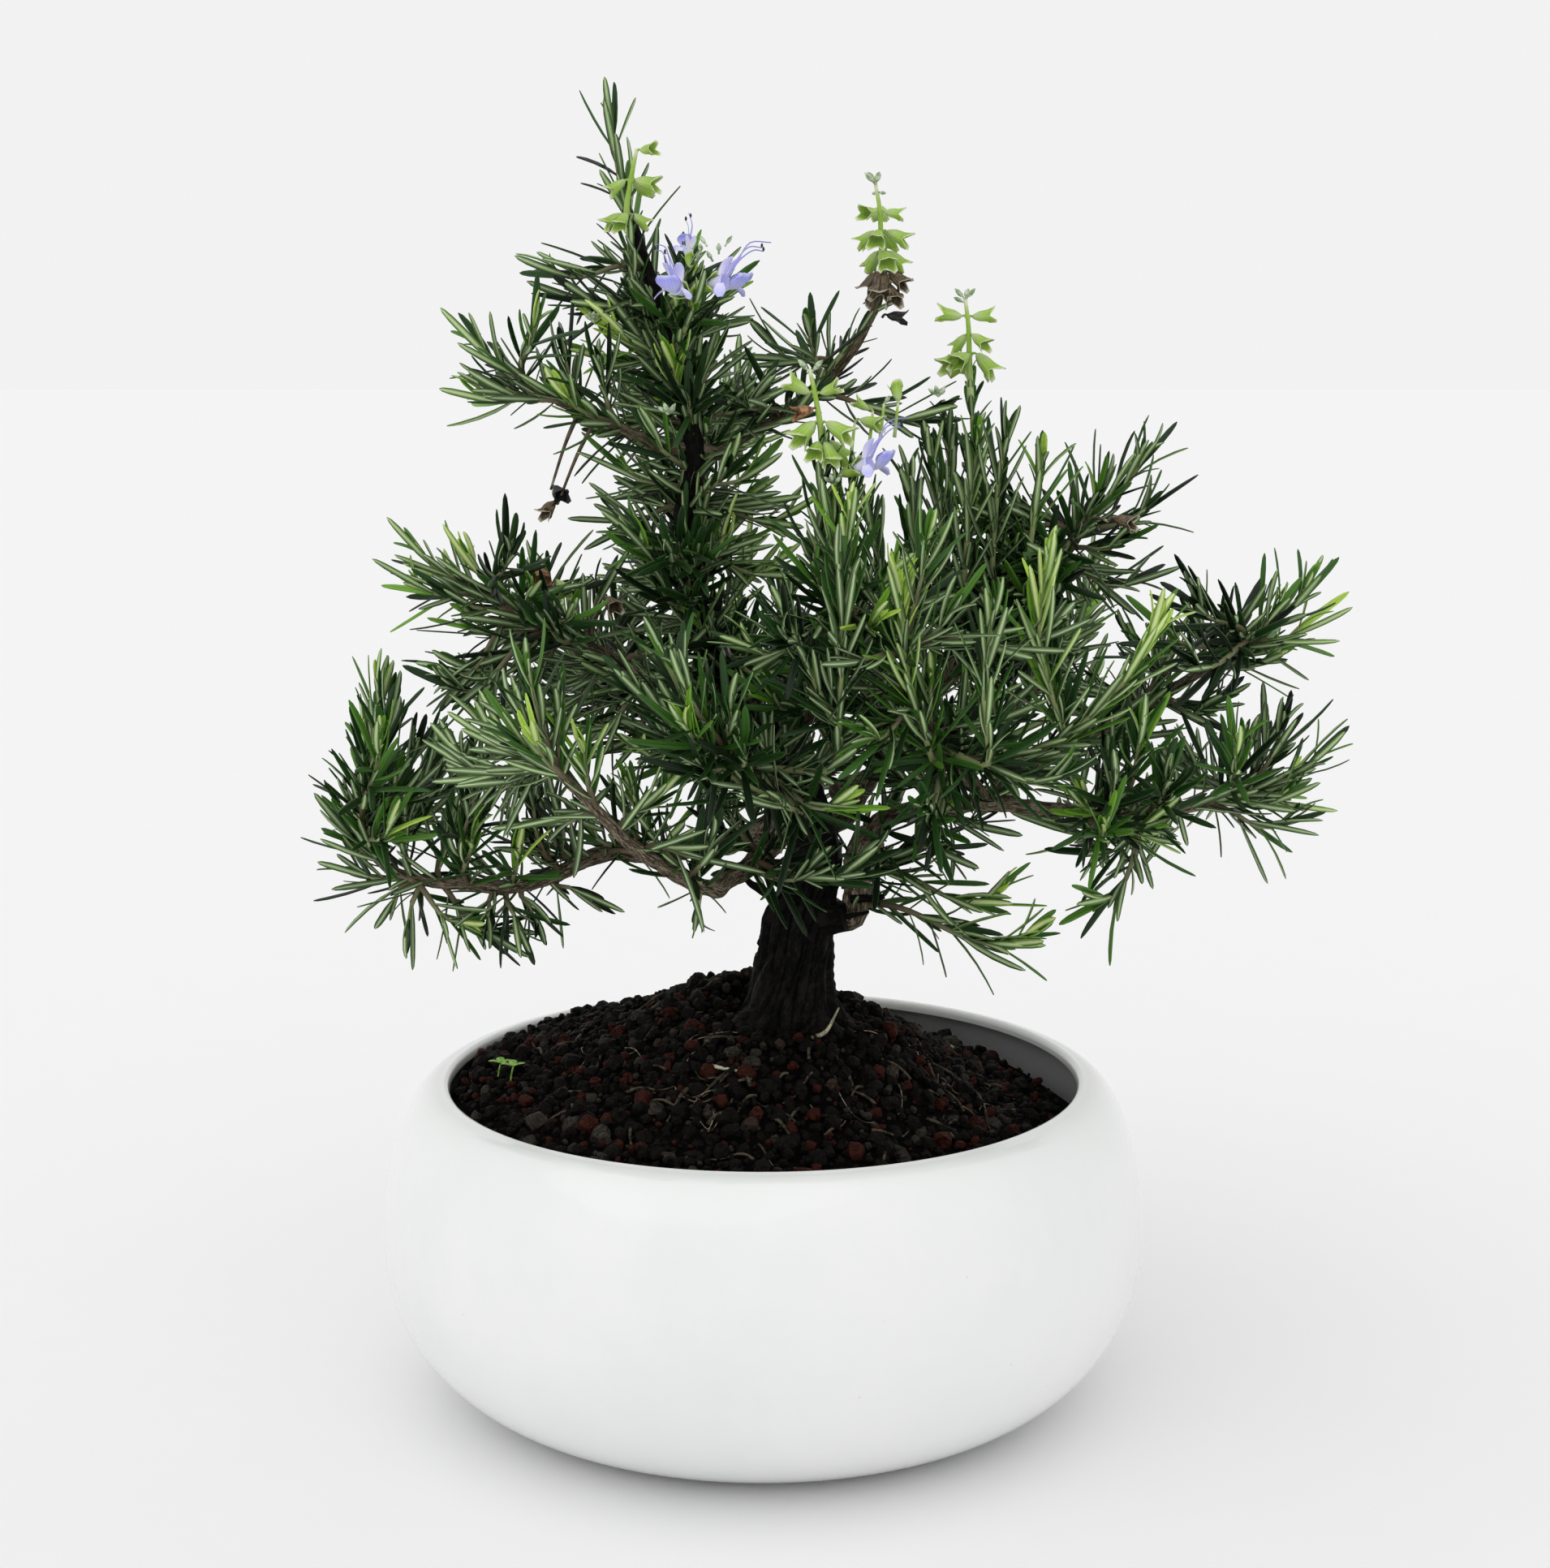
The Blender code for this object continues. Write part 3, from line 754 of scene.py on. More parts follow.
def barkTree():
    inputs = {"Spacing": ("Float", 0.001), "Sides": ("Int", 16), "Ridge": ("Float", 0.1),
              "Flake": ("Float", 0.05),
              "Paint": ("Material", None)}
    group, tree, given = startGeometry("barkedLimb", inputs)
    line = tree.add("GeometryNodeMeshToCurve", None, {"Mesh": given["Geometry"]})["Curve"]
    line = tree.add("GeometryNodeResampleCurve", {"mode": "LENGTH"},
                    {"Curve": line, "Length": given["Spacing"]})["Curve"]
    line = store(tree, line, "reach", tree.add("GeometryNodeSplineParameter")["Length"])
    ring = tree.add("GeometryNodeCurvePrimitiveCircle", None,
                    {"Resolution": given["Sides"], "Radius": 1.0})["Curve"]
    ring = store(tree, ring, "turn", tree.add("GeometryNodeSplineParameter")["Factor"] * 2 * math.pi)
    tube = tree.add("GeometryNodeCurveToMesh", None,
                    {"Curve": line, "Profile Curve": ring, "Scale": recall(tree, "thick"),
                     "Fill Caps": True})["Mesh"]
    turn = recall(tree, "turn")
    thick = recall(tree, "thick")
    place = tree.joined(turn.math("COSINE"), turn.math("SINE"), recall(tree, "reach") * 110)
    tube = store(tree, tube, "barkPlace", place, "POINT", "FLOAT_VECTOR")
    ridges = tree.noise(place, 1.5, 3, 0.6, 0.5)["Fac"] - 0.5
    flakes = tree.noise(place, 4.5, 4, 0.7)["Fac"] - 0.5
    out = thick * (ridges * given["Ridge"] * 4 + flakes * given["Flake"] * 4)
    normal = tree.add("GeometryNodeInputNormal")["Normal"]
    tube = tree.add("GeometryNodeSetPosition", None, {"Geometry": tube,
                                                      "Offset": normal.times(out)})["Geometry"]
    tube = tree.add("GeometryNodeSetShadeSmooth", None, {"Geometry": tube})["Geometry"]
    endGeometry(tree, tube, given["Paint"])
    return group


def limbLine(route, start, end, perSpan=6, wander=0.0, seed=0):
    points = smoothRoute(route, perSpan)
    line = []
    for i, p in enumerate(points):
        share = i / (len(points) - 1)
        drift = noise.noise_vector(Vector((i * 0.35, seed * 7.3, 0))) * wander * min(1, 6 * share,
                                                                                     6 * (1 - share))
        line.append((p + drift, {"thick": (start + (end - start) * share ** 0.8) * mm}))
    return line


def makeTrunk(paint, group):
    t = trunkShape
    centres = smoothRoute(t["route"], 12)
    radii = smoothRoute([(r, 0, 0) for r in t["radii"]], 12)
    sides = t["sides"]
    points = []
    places = []
    faces = []
    for i, (centre, radius) in enumerate(zip(centres, radii)):
        z = centre.z
        flare = math.exp(-max(0, z - t["flareTop"]) / t["flareFade"])
        for k in range(sides):
            a = 2 * math.pi * k / sides
            round1 = Vector((math.cos(a), math.sin(a), 0))
            lobes = 0.26 * math.sin(5 * a + 0.6) + 0.14 * math.sin(8 * a + 2.1)
            twisted = Vector((math.cos(a - z * 0.018), math.sin(a - z * 0.018), 0))
            ribs = noise.noise(Vector((twisted.x * 2.3, twisted.y * 2.3, z * 0.03)))
            cracks = abs(noise.noise(Vector((twisted.x * 4.6, twisted.y * 4.6, z * 0.06 + 9))))
            knots = noise.noise(Vector((round1.x * 1.2, round1.y * 1.2, z * 0.12 + 4)))
            grainy = noise.noise(Vector((round1.x * 12, round1.y * 12, z * 0.5)))
            r = radius.x * (1 + flare * lobes) + 1.6 * ribs - 1.7 * max(0, 0.25 - cracks) / 0.25 + knots * 0.9
            r += 0.4 * grainy
            points.append(centre + round1 * r)
            places.append((twisted.x * 2.2, twisted.y * 2.2, z * 0.1))
    rings = len(centres)
    for i in range(rings - 1):
        for k in range(sides):
            j = (k + 1) % sides
            faces.append((i * sides + k, i * sides + j, (i + 1) * sides + j, (i + 1) * sides + k))
    faces.append(tuple(range(sides - 1, -1, -1)))
    faces.append(tuple((rings - 1) * sides + k for k in range(sides)))
    body = meshPiece("trunkBody", points, faces, paint)
    layer = body.data.attributes.new("barkPlace", "FLOAT_VECTOR", "POINT")
    layer.data.foreach_set("vector", [c for place in places for c in place])
    lines = []
    for angle, reach, thick in rootRuns:
        out = Vector((math.cos(angle), math.sin(angle), 0))
        side = Vector((-out.y, out.x, 0))
        route = [Vector((8, 0, 116)) + out * 6]
        for share in (0.3, 0.5, 0.7, 0.85, 1):
            spot = Vector((8, 0, 0)) + out * reach * share + side * 3 * math.sin(share * 4 + angle)
            route.append(Vector((spot.x, spot.y, soilHeight(spot.x, spot.y) + thick * (1.1 - 2.1 * share))))
        lines.append(limbLine(route, thick, thick * 0.4, 6, 0.5, int(angle * 10)))
    for number, (route, start, end) in enumerate(trunkStubs):
        lines.append(limbLine(route, start, end, 6, 0.4, 5 + number))
    limbs = grow("trunkRoots", lineMesh("trunkRoots", lines), group,
                 {"Spacing": 0.0012, "Sides": 20, "Ridge": 0.14, "Flake": 0.07, "Paint": paint})
    trunk = joinPieces("trunkWood", [body, limbs])
    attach(trunk, "root")
    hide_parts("trunk")


def parentSpot(node, start):
    # the nearest point on another limb's middle line, where this one grows from
    start = Vector(start)
    others = [trunkShape["route"]] + [route for other, (_, _, route) in branchRoutes.items() if other != node]
    spots = [p for route in others for p in smoothRoute(route, 6)]
    return min(spots, key=lambda p: (p - start).length)


def makeWood():
    group = barkTree()
    # the trunk and leader bark is nearly black: partly the old bark's own dark colour, partly painted shade
    # under the canopy
    trunkBark = barkMaterial("trunkBark", tint(1, 1, 1), tint(7, 6, 5), tint(34, 31, 26), 0.6)
    limbBark = barkMaterial("limbBark", tint(28, 22, 17), tint(96, 84, 68), tint(178, 166, 144), 0.6)
    twigBark = barkMaterial("twigBark", tint(52, 42, 32), tint(96, 84, 66), tint(150, 142, 120), 0.6)
    makeTrunk(trunkBark, group)
    for number, (node, (start, end, route)) in enumerate(branchRoutes.items()):
        rooted = route if node == "leader" else [parentSpot(node, route[0])] + route
        inputs = {"Spacing": woodFinish["spacing"], "Sides": woodFinish["sides"],
                  "Ridge": woodFinish["ridge"],
                  "Flake": woodFinish["flake"], "Paint": trunkBark if node == "leader" else limbBark}
        if start < 2.3:
            inputs["Paint"] = twigBark
        name = capitals(node.split("_"))
        line = limbLine(rooted, start * 1.08, end, 6, 1.0, number)
        limb = grow("wood" + name, lineMesh(name, [line]), group, inputs)
        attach(limb, "root")
        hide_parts(node)
        "bark" if node == "leader" else "twig"


makeWood()
print("wood ready")


# leafy shoots

leafShape = {"length": 21, "width": 2.05, "thick": 0.62, "rings": (0, 0.1, 0.3, 0.55, 0.8, 0.94, 1.0),
             "halves": (0.36, 0.62, 0.94, 1.0, 0.9, 0.6, 0.14)}
leafGrowth = {"spacing": 3.3, "spreadAtBase": 0.98, "spreadAtTip": 0.3, "reach": 14, "seed": 3, "longest": 72,
              "least": 30, "leastHanging": 12, "footReach": 60, "apart": 11}
# no shoot of a mass ends in the open space at the left of the column, or near the soil
openSpace = {"left": -78, "right": -48, "bottom": 245, "top": 285, "overSoil": 160}
shootNodes = {
    "shoot_leader_tip": ((-38, 0, 340), (-43, 2, 376)), "shoot_crown_left": ((-32, 0, 322), (-68, -6, 330)),
    "shoot_crown_right": ((-32, 0, 322), (-4, 4, 326)), "shoot_crown_front": ((-22, 0, 290), (-20, -26, 320)),
    "shoot_crown_back": ((-24, 0, 294), (-38, 42, 320)),
              "shoot_column_left": ((-20, -2, 250), (-62, -2, 252)),
    "shoot_column_right": ((-20, -2, 244), (18, 12, 262)),
              "shoot_column_front": ((-20, -2, 240), (-26, -42, 254)),
    "shoot_column_back": ((-19, 0, 230), (-40, 40, 242)),
              "shoot_top_left_end": ((-69, -3, 294), (-84, 0, 313)),
    "shoot_top_left_rising": ((-48, -10, 283), (-60, -26, 320)),
              "shoot_top_right_side": ((4, 5, 282), (12, -8, 318)),
    "shoot_top_back_end": ((-12, 40, 276), (-6, 66, 304)),
              "shoot_left_rising_end": ((-84, -1, 235), (-103, 2, 256)),
    "shoot_left_rising_middle": ((-49, -7, 218), (-62, -30, 248)),
              "shoot_left_end": ((-115, 0, 161), (-125, 0, 176)),
    "shoot_left_outer": ((-88, -2, 150), (-89, -4, 214)),
              "shoot_left_inner": ((-62, 0, 150), (-82, -24, 210)),
    "shoot_left_low": ((-70, 0, 149), (-68, -14, 126)), "shoot_front_left_end": ((-53, -69, 194),
                                                                                 (-62, -74, 234)),
    "shoot_front_end": ((-9, -62, 197), (-24, -90, 236)),
              "shoot_middle_end": ((22, -38, 236), (17, -42, 273)),
    "shoot_front_right_end": ((38, -53, 225), (44, -62, 266)),
              "shoot_right_rising_end": ((91, 7, 251), (112, 0, 284)),
    "shoot_right_rising_middle": ((68, 16, 222), (58, 2, 290)),
              "shoot_right_outer_end": ((140, 6, 219), (152, 0, 224)),
    "shoot_right_outer_middle": ((109, 14, 198), (117, 10, 230)),
              "shoot_right_end": ((140, 0, 176), (165, -4, 198)),
    "shoot_right_front": ((98, -10, 171), (104, -46, 214)),
              "shoot_right_low": ((84, -12, 172), (90, -20, 163)),
    "shoot_back_end": ((12, 76, 186), (6, 98, 236)), "shoot_back_left_end": ((-54, 70, 196), (-76, 82, 240)),
    "shoot_back_right_end": ((88, 72, 196), (108, 84, 240)),
}
# side shoots end at the skin of each shoot's CAD solid, and hanging ones are spaced along the low limbs
sideShoots = {"perNode": 4, "from": 0.35, "apart": 12, "outward": -2}
hangingShoots = {"branch_left": (0.5, 0.97, 5, 20), "branch_right": (0.36, 0.66, 3, 18)}
# shoots drawn one by one: route, leaf size, how young
shootRoutes = [
    ([(48, 0, 232), (50, 0, 252), (47, 0, 272)], 0.95, 0.3),
               ([(56, -10, 236), (57, -10, 256), (59, -10, 274)], 0.95, 0.5),
    ([(64, -6, 240), (65, -8, 262), (67, -10, 276)], 1.0, 0.2),
               ([(43, -8, 236), (42, -12, 252), (40, -14, 266)], 0.9, 0.3),
    ([(74, -4, 242), (76, -6, 258), (77, -8, 268)], 1.0, 0.6),
               ([(52, 8, 240), (53, 8, 262), (52, 6, 277)], 0.9, 0.2),
    ([(34, -10, 226), (32, -14, 242), (29, -16, 258)], 0.9, 0.3),
               ([(-16, -44, 158), (-24, -49, 166), (-31, -52, 176), (-35, -54, 186)], 0.8, 0.5),
    ([(-17, -43, 157), (-17.3, -44, 154), (-17.5, -44.5, 149)], 0.6, 0.05),
    ([(9, -52, 180), (-10, -60, 192), (-22, -65, 204), (-32, -68, 214)], 1.15, 0.15),
    ([(45, -48, 194), (38, -55, 218), (36, -56, 240)], 1.05, 0.95),
               ([(81, -40, 200), (76, -45, 214), (73.5, -45, 228), (75, -46, 243)], 1.1, 0.8),
    ([(84, -40, 200), (94, -44, 210), (100, -45, 219), (105, -45, 230)], 1.0, 0.8),
    ([(20, -56, 196), (20.5, -60, 214), (21, -60, 230), (20, -58, 246)], 1.0, 0.3),
    ([(18, -56, 206), (11, -60, 222), (5.5, -60, 234)], 1.0, 0.2),
               ([(-12, -56, 194), (-18, -62, 207), (-26, -64, 224)], 1.0, 0.4),
    ([(22, -48, 240), (23, -50, 260)], 0.8, 0.95), ([(60, -55, 196), (58, -58, 214), (60, -56, 234)], 1.0,
                                                    0.5),
    ([(60, 8, 262), (59, 5, 276), (58, 3, 291)], 0.62, 0.35),
               ([(6, 4, 284), (14, 4, 290), (22, 3, 299), (29, 1, 308), (32.5, 0, 316)], 0.5, 0.3),
    ([(14, -34, 242), (15, -38, 256), (16, -42, 273)], 0.75, 0.3),
               ([(-34, -3, 312), (-36, -5, 322), (-36.5, -6, 333)], 0.6, 0.3),
    ([(20, -36, 250), (23, -40, 260), (24, -42, 267)], 0.7, 0.3),
               ([(-26, -6, 296), (-21, -18, 306), (-17, -22, 315)], 0.75, 0.3),
]
# rounded masses filled with seeded shoots: centre, radii, how many
leafMasses = {
    "column": ((-25, 2, 285), (30, 30, 62), 34), "left": ((-78, 0, 198), (44, 50, 40), 38),
    "right": ((88, 5, 212), (68, 66, 50), 56), "front": ((15, -42, 212), (52, 42, 44), 34),
    "back": ((15, 55, 215), (88, 42, 42), 44), "core": ((5, 0, 205), (50, 40, 42), 26),
    "rising": ((66, 2, 250), (22, 28, 18), 12),
}


def leafMaterial():
    # colour follows the map: 7 rows of leaf tones from old to young, with the top face in the left half
    # and the underside in the right, and an 8th row for stems from young to woody
    material, tree = startMaterial("leafAndStem")
    spot = tree.split(tree.add("ShaderNodeUVMap", {"uv_map": "OFBake"})["UV"])
    across = spot["X"]
    rows = spot["Y"] * 8
    row = rows.math("FLOOR")
    along = rows.math("FRACT")
    stem = tree.step(row, 6.4, 6.6)
    tone = row / 6
    flecks = tree.noise(tree.joined(across * 9, rows * 5, row), 3, 4)["Fac"]
    top = tree.ramp(tone, [(0.0, tint(11, 30, 10)), (0.33, tint(29, 64, 21)), (0.62, tint(60, 106, 34)),
                           (0.85, tint(110, 160, 46)), (1.0, tint(172, 208, 84))])
    top = tree.mix(tree.step(flecks, 0.35, 0.7) * 0.35, top, tree.mix(1.0, top, (1.9, 1.8, 1.7), "MULTIPLY"))
    # the sunken midrib groove on the top face is darkened: painted shade in the groove
    paintedGrooveShade = tree.step((across - 0.25).math("ABSOLUTE"), 0.035, 0.008)
    top = tree.mix(paintedGrooveShade * 0.65, top, tree.mix(1.0, top, (0.35, 0.4, 0.35), "MULTIPLY"))
    # the top face is paler at its rolled margins: partly the margin's own pale colour, partly a painted
    # highlight along the edge
    edge = tree.step((across - 0.25).math("ABSOLUTE"), 0.2, 0.25)
    top = tree.mix(edge * 0.4, top, tint(120, 138, 92))
    under = tree.ramp(tone, [(0.0, tint(112, 144, 96)), (0.6, tint(162, 190, 128)),
                             (1.0, tint(208, 226, 146))])
    rib = tree.step((across - 0.75).math("ABSOLUTE"), 0.045, 0.012)
    margin = tree.step((across - 0.75).math("ABSOLUTE"), 0.1, 0.15)
    under = tree.mix(rib * 0.7, under, tint(228, 236, 204))
    under = tree.mix(margin, under, top)
    leaf = tree.mix(tree.step(across, 0.49, 0.51), top, under)
    leaf = tree.mix(tree.step(along, 0.14, 0.0) * 0.6, leaf, tint(150, 160, 110))
    bark = tree.ramp(along, [(0.0, tint(158, 172, 112)), (0.4, tint(140, 146, 108)),
                             (0.72, tint(112, 100, 78)),
                             (1.0, tint(72, 60, 48))])
    bark = tree.mix(tree.step(flecks, 0.4, 0.7) * 0.4, bark, tree.mix(1.0, bark, (0.5, 0.5, 0.5), "MULTIPLY"))
    colour = tree.mix(stem, leaf, bark)
    rough = 0.34 + tree.step(across, 0.49, 0.51) * 0.4 + stem * 0.3 + (flecks - 0.5) * 0.2
    endMaterial(tree, {"Base Color": colour, "Roughness": rough.clamped(0.2, 0.9),
                       "Specular IOR Level": 0.24})
    return material


def leafShapes():
    folder = bpy.data.collections.new("leafShapes")
    s = leafShape
    bends = ((0.0, 0.0, 0.0), (0.1, 0.02, 0.2), (-0.09, -0.02, -0.3), (0.2, 0.0, 0.1), (-0.17, 0.03, 0.4),
             (0.14, -0.05, -0.2), (-0.04, 0.05, 0.5))
    section = ((-1, -0.30, 0.0), (-0.62, 0.22, 0.11), (0, -0.06, 0.25), (0.62, 0.22, 0.39), (1, -0.30, 0.5),
               (0, -0.62, 0.75))
    for number, (bend, sweep, twist) in enumerate(bends):
        points = []
        faces = []
        maps = []
        for share, half in zip(s["rings"], s["halves"]):
            turn = twist * share
            for x, z, _ in section:
                px = x * half * s["width"] / 2
                pz = z * s["thick"] * (0.55 + 0.45 * half)
                points.append(Vector((px * math.cos(turn) - pz * math.sin(turn) + sweep * s["length"]
                                      * share ** 2,
                                      share * s["length"] * (1 - 0.5 * bend ** 2 * share),
                                      px * math.sin(turn) + pz * math.cos(turn) + bend * s["length"]
                                      * share ** 2)) * mm)
        rings = len(s["rings"])
        for i in range(rings - 1):
            for k in range(6):
                j = (k + 1) % 6
                faces.append((i * 6 + k, (i + 1) * 6 + k, (i + 1) * 6 + j, i * 6 + j))
                u0 = section[k][2]
                u1 = section[j][2] if j else 1.0
                v0, v1 = s["rings"][i], s["rings"][i + 1]
                maps += [(u0, v0), (u0, v1), (u1, v1), (u1, v0)]
        faces.append(tuple(range(6)))
        maps += [(section[k][2], 0.0) for k in range(6)]
        faces.append(tuple((rings - 1) * 6 + k for k in range(5, -1, -1)))
        maps += [(section[k][2], 1.0) for k in range(5, -1, -1)]
        mesh = bpy.data.meshes.new("leafShape")
        mesh.from_pydata(points, [], faces)
        layer = mesh.uv_layers.new(name="leafPlace")
        for loop, (u, v) in zip(layer.data, maps):
            loop.uv = (min(max(u, 0.01), 0.99), 0.04 + 0.92 * v)
        mesh.shade_smooth()
        folder.objects.link(bpy.data.objects.new(f"leafShape{number}", mesh))
    return folder


def leafyTree():
    inputs = {"Leaf Spacing": ("Float", 0.003), "Leaves": ("Collection", None),
              "Spread At Base": ("Float", 1.1),
              "Spread At Tip": ("Float", 0.4), "Stem Sides": ("Int", 6), "Seed": ("Int", 1),
              "Paint": ("Material", None)}
    group, tree, given = startGeometry("leafyShoots", inputs)
    seed = given["Seed"]
    line = tree.add("GeometryNodeMeshToCurve", None, {"Mesh": given["Geometry"]})["Curve"]
    line = tree.add("GeometryNodeResampleCurve", {"mode": "LENGTH"},
                    {"Curve": line, "Length": given["Leaf Spacing"]})["Curve"]
    where = tree.add("GeometryNodeSplineParameter")
    line = store(tree, line, "along", where["Factor"])
    line = store(tree, line, "pair", where["Index"])
    spots = tree.add("GeometryNodeCurveToPoints", {"mode": "EVALUATED"}, {"Curve": line})
    copies = tree.add("GeometryNodeDuplicateElements", {"domain": "POINT"},
                      {"Geometry": spots["Points"], "Amount": 4})
    copy = copies["Duplicate Index"]
    side = copy.math("MODULO", 2)
    inner = (copy / 2).math("FLOOR")
    along = recall(tree, "along")
    young = recall(tree, "young")
    turn = recall(tree, "pair") * (math.pi / 2) + side * math.pi + chance(tree, -0.45, 0.45,
                                                                          seed) + inner * 0.5
    axis = spots["Tangent"]
    round1 = tree.add("ShaderNodeVectorRotate", {"rotation_type": "AXIS_ANGLE"},
                      {"Vector": spots["Normal"], "Axis": axis, "Angle": turn})["Vector"]
    opening = given["Spread At Base"] + (given["Spread At Tip"] - given["Spread At Base"]) * along ** 1.3
    opening = opening * recall(tree, "spread") + chance(tree, -0.22, 0.22, seed + 1) - inner * 0.3
    leafWay = axis.times(opening.math("COSINE")).vector("ADD", round1.times(opening.math("SINE")))
    leafWay = leafWay.vector("ADD", tree.joined(0, 0, recall(tree, "lift")))
    topWay = axis.times(opening.math("SINE")).vector("SUBTRACT", round1.times(opening.math("COSINE")))
    turned = tree.add("FunctionNodeAxesToRotation", {"primary_axis": "Y", "secondary_axis": "Z"},
                      {"Primary Axis": leafWay, "Secondary Axis": topWay})["Rotation"]
    ending = along ** 7
    length = recall(tree, "size") * (1 - ending * 0.5) * chance(tree, 0.72, 1.12,
                                                                seed + 2) * (1 - inner * 0.42)
    width = chance(tree, 0.85, 1.15, seed + 3) * (1 - inner * 0.2) * (0.55 + recall(tree, "size") * 0.45)
    kept = chance(tree, 0.0, 1.0, seed + 4).math("LESS_THAN", recall(tree, "fullness") - inner * 0.25)
    shapes = tree.add("GeometryNodeCollectionInfo", None,
                      {"Collection": given["Leaves"], "Separate Children": True,
                       "Reset Children": True})["Instances"]
    leaves = tree.add("GeometryNodeInstanceOnPoints", None,
                      {"Points": copies["Geometry"], "Selection": kept, "Instance": shapes,
                       "Pick Instance": True,
                       "Instance Index": chance(tree, 0, 6, seed + 5, "INT"), "Rotation": turned,
                       "Scale": tree.joined(width, length, width)})["Instances"]
    tone = (young * (0.3 + 0.7 * along ** 2) + chance(tree, -0.2, 0.24, seed + 6) + 0.1).clamped(0.0, 0.999)
    leaves = store(tree, leaves, "row", (tone * 7).math("FLOOR"), "INSTANCE")
    leaves = tree.add("GeometryNodeRealizeInstances", None, {"Geometry": leaves})["Geometry"]
    own = tree.split(recall(tree, "leafPlace", "FLOAT_VECTOR"))
    leaves = store(tree, leaves, "OFBake", tree.joined(own["X"], (recall(tree, "row") + own["Y"]) / 8),
                   "CORNER", "FLOAT2")
    ring = tree.add("GeometryNodeCurvePrimitiveCircle", None,
                    {"Resolution": given["Stem Sides"], "Radius": 1.0})["Curve"]
    ring = store(tree, ring, "turn", tree.add("GeometryNodeSplineParameter")["Factor"])
    stem = tree.add("GeometryNodeCurveToMesh", None, {"Curve": line, "Profile Curve": ring,
                                                      "Scale": recall(tree, "thick"),
                                                      "Fill Caps": True})["Mesh"]
    wood = (recall(tree, "woody") * (1 - along * 0.85) + 0.02).clamped(0.02, 0.98)
    stem = store(tree, stem, "OFBake", tree.joined(recall(tree, "turn"), (7 + wood) / 8), "CORNER", "FLOAT2")
    stem = tree.add("GeometryNodeSetShadeSmooth", None, {"Geometry": stem})["Geometry"]
    both = tree.add("GeometryNodeJoinGeometry", None, {"Geometry": [leaves, stem]})["Geometry"]
    endGeometry(tree, both, given["Paint"])
    return group


def bend(start, startWay, end, endWay, steps=9):
    reach = (end - start).length
    a, b = start + startWay * reach * 0.4, end - endWay * reach * 0.4
    points = []
    for i in range(steps + 1):
        t = i / steps
        points.append(start * (1 - t) ** 3 + a * 3 * t * (1 - t) ** 2 + b * 3 * t * t * (1 - t) + end
                      * t ** 3)
    return points


def woodSpots():
    spots = []
    for node, (_, _, route) in branchRoutes.items():
        points = smoothRoute(route, 5)
        for i in range(3 if node != "leader" else 14, len(points) - 1):
            way = (points[i + 1] - points[i]).normalized()
            spots.append((points[i], way))
    return spots


def nearestSpot(tip, spots, least):
    def cost(spot):
        gap = (tip - spot[0]).length
        return gap + 1.3 * max(0, spot[0].z - tip.z + 6) + 4 * max(0, least - gap)
    return min(spots, key=cost)


def shootLine(tip, spots, chosen, young, size, hanging=False, rise=0.5):
    start, way = nearestSpot(tip, spots, leafGrowth["leastHanging" if hanging else "least"])
    reach = (tip - start).length
    if reach > leafGrowth["longest"]:                 # far tips spring from nearer, unseen twigs
        start = tip + (start - tip) * leafGrowth["longest"] / reach
    direct = (tip - start).normalized()
    startWay = (way * 0.5 + direct * 0.8).normalized()
    endWay = (direct + (up * (rise if not hanging else -0.5))).normalized()
    points = bend(start, startWay, tip - endWay * min(leafGrowth["reach"], reach * 0.5), endWay)
    values = []
    for i, p in enumerate(points):
        share = i / (len(points) - 1)
        values.append((p, {"young": young, "size": size * (0.85 + 0.25 * share),
                           "thick": (1.05 - 0.6 * share) * mm,
                           "woody": chosen.uniform(0.8, 1.0), "spread": 1.0,
                           "lift": 0.12 if not hanging else -0.1,
                           "fullness": 0.72 + 0.28 * share}))
    return values


def distanceToLine(point, start, end):
    along = end - start
    share = max(0, min(1, (point - start).dot(along) / along.length_squared))
    return (point - start - along * share).length


def sideTips(node, others, chosen):
    start, tip = map(Vector, shootNodes[node])
    way = tip - start
    found = []
    corners = [corner.co / mm for corner in frame["nodes"][node].data.vertices]
    for corner in chosen.sample(corners, len(corners)):
        share = (corner - start).dot(way) / way.length_squared
        if share < sideShoots["from"] or len(found) == sideShoots["perNode"]:
            continue
        end = corner + (corner - start - way * share).normalized() * sideShoots["outward"]
        if min((end - other).length for other in others + found) > sideShoots["apart"]:
            found.append(end)
    return found


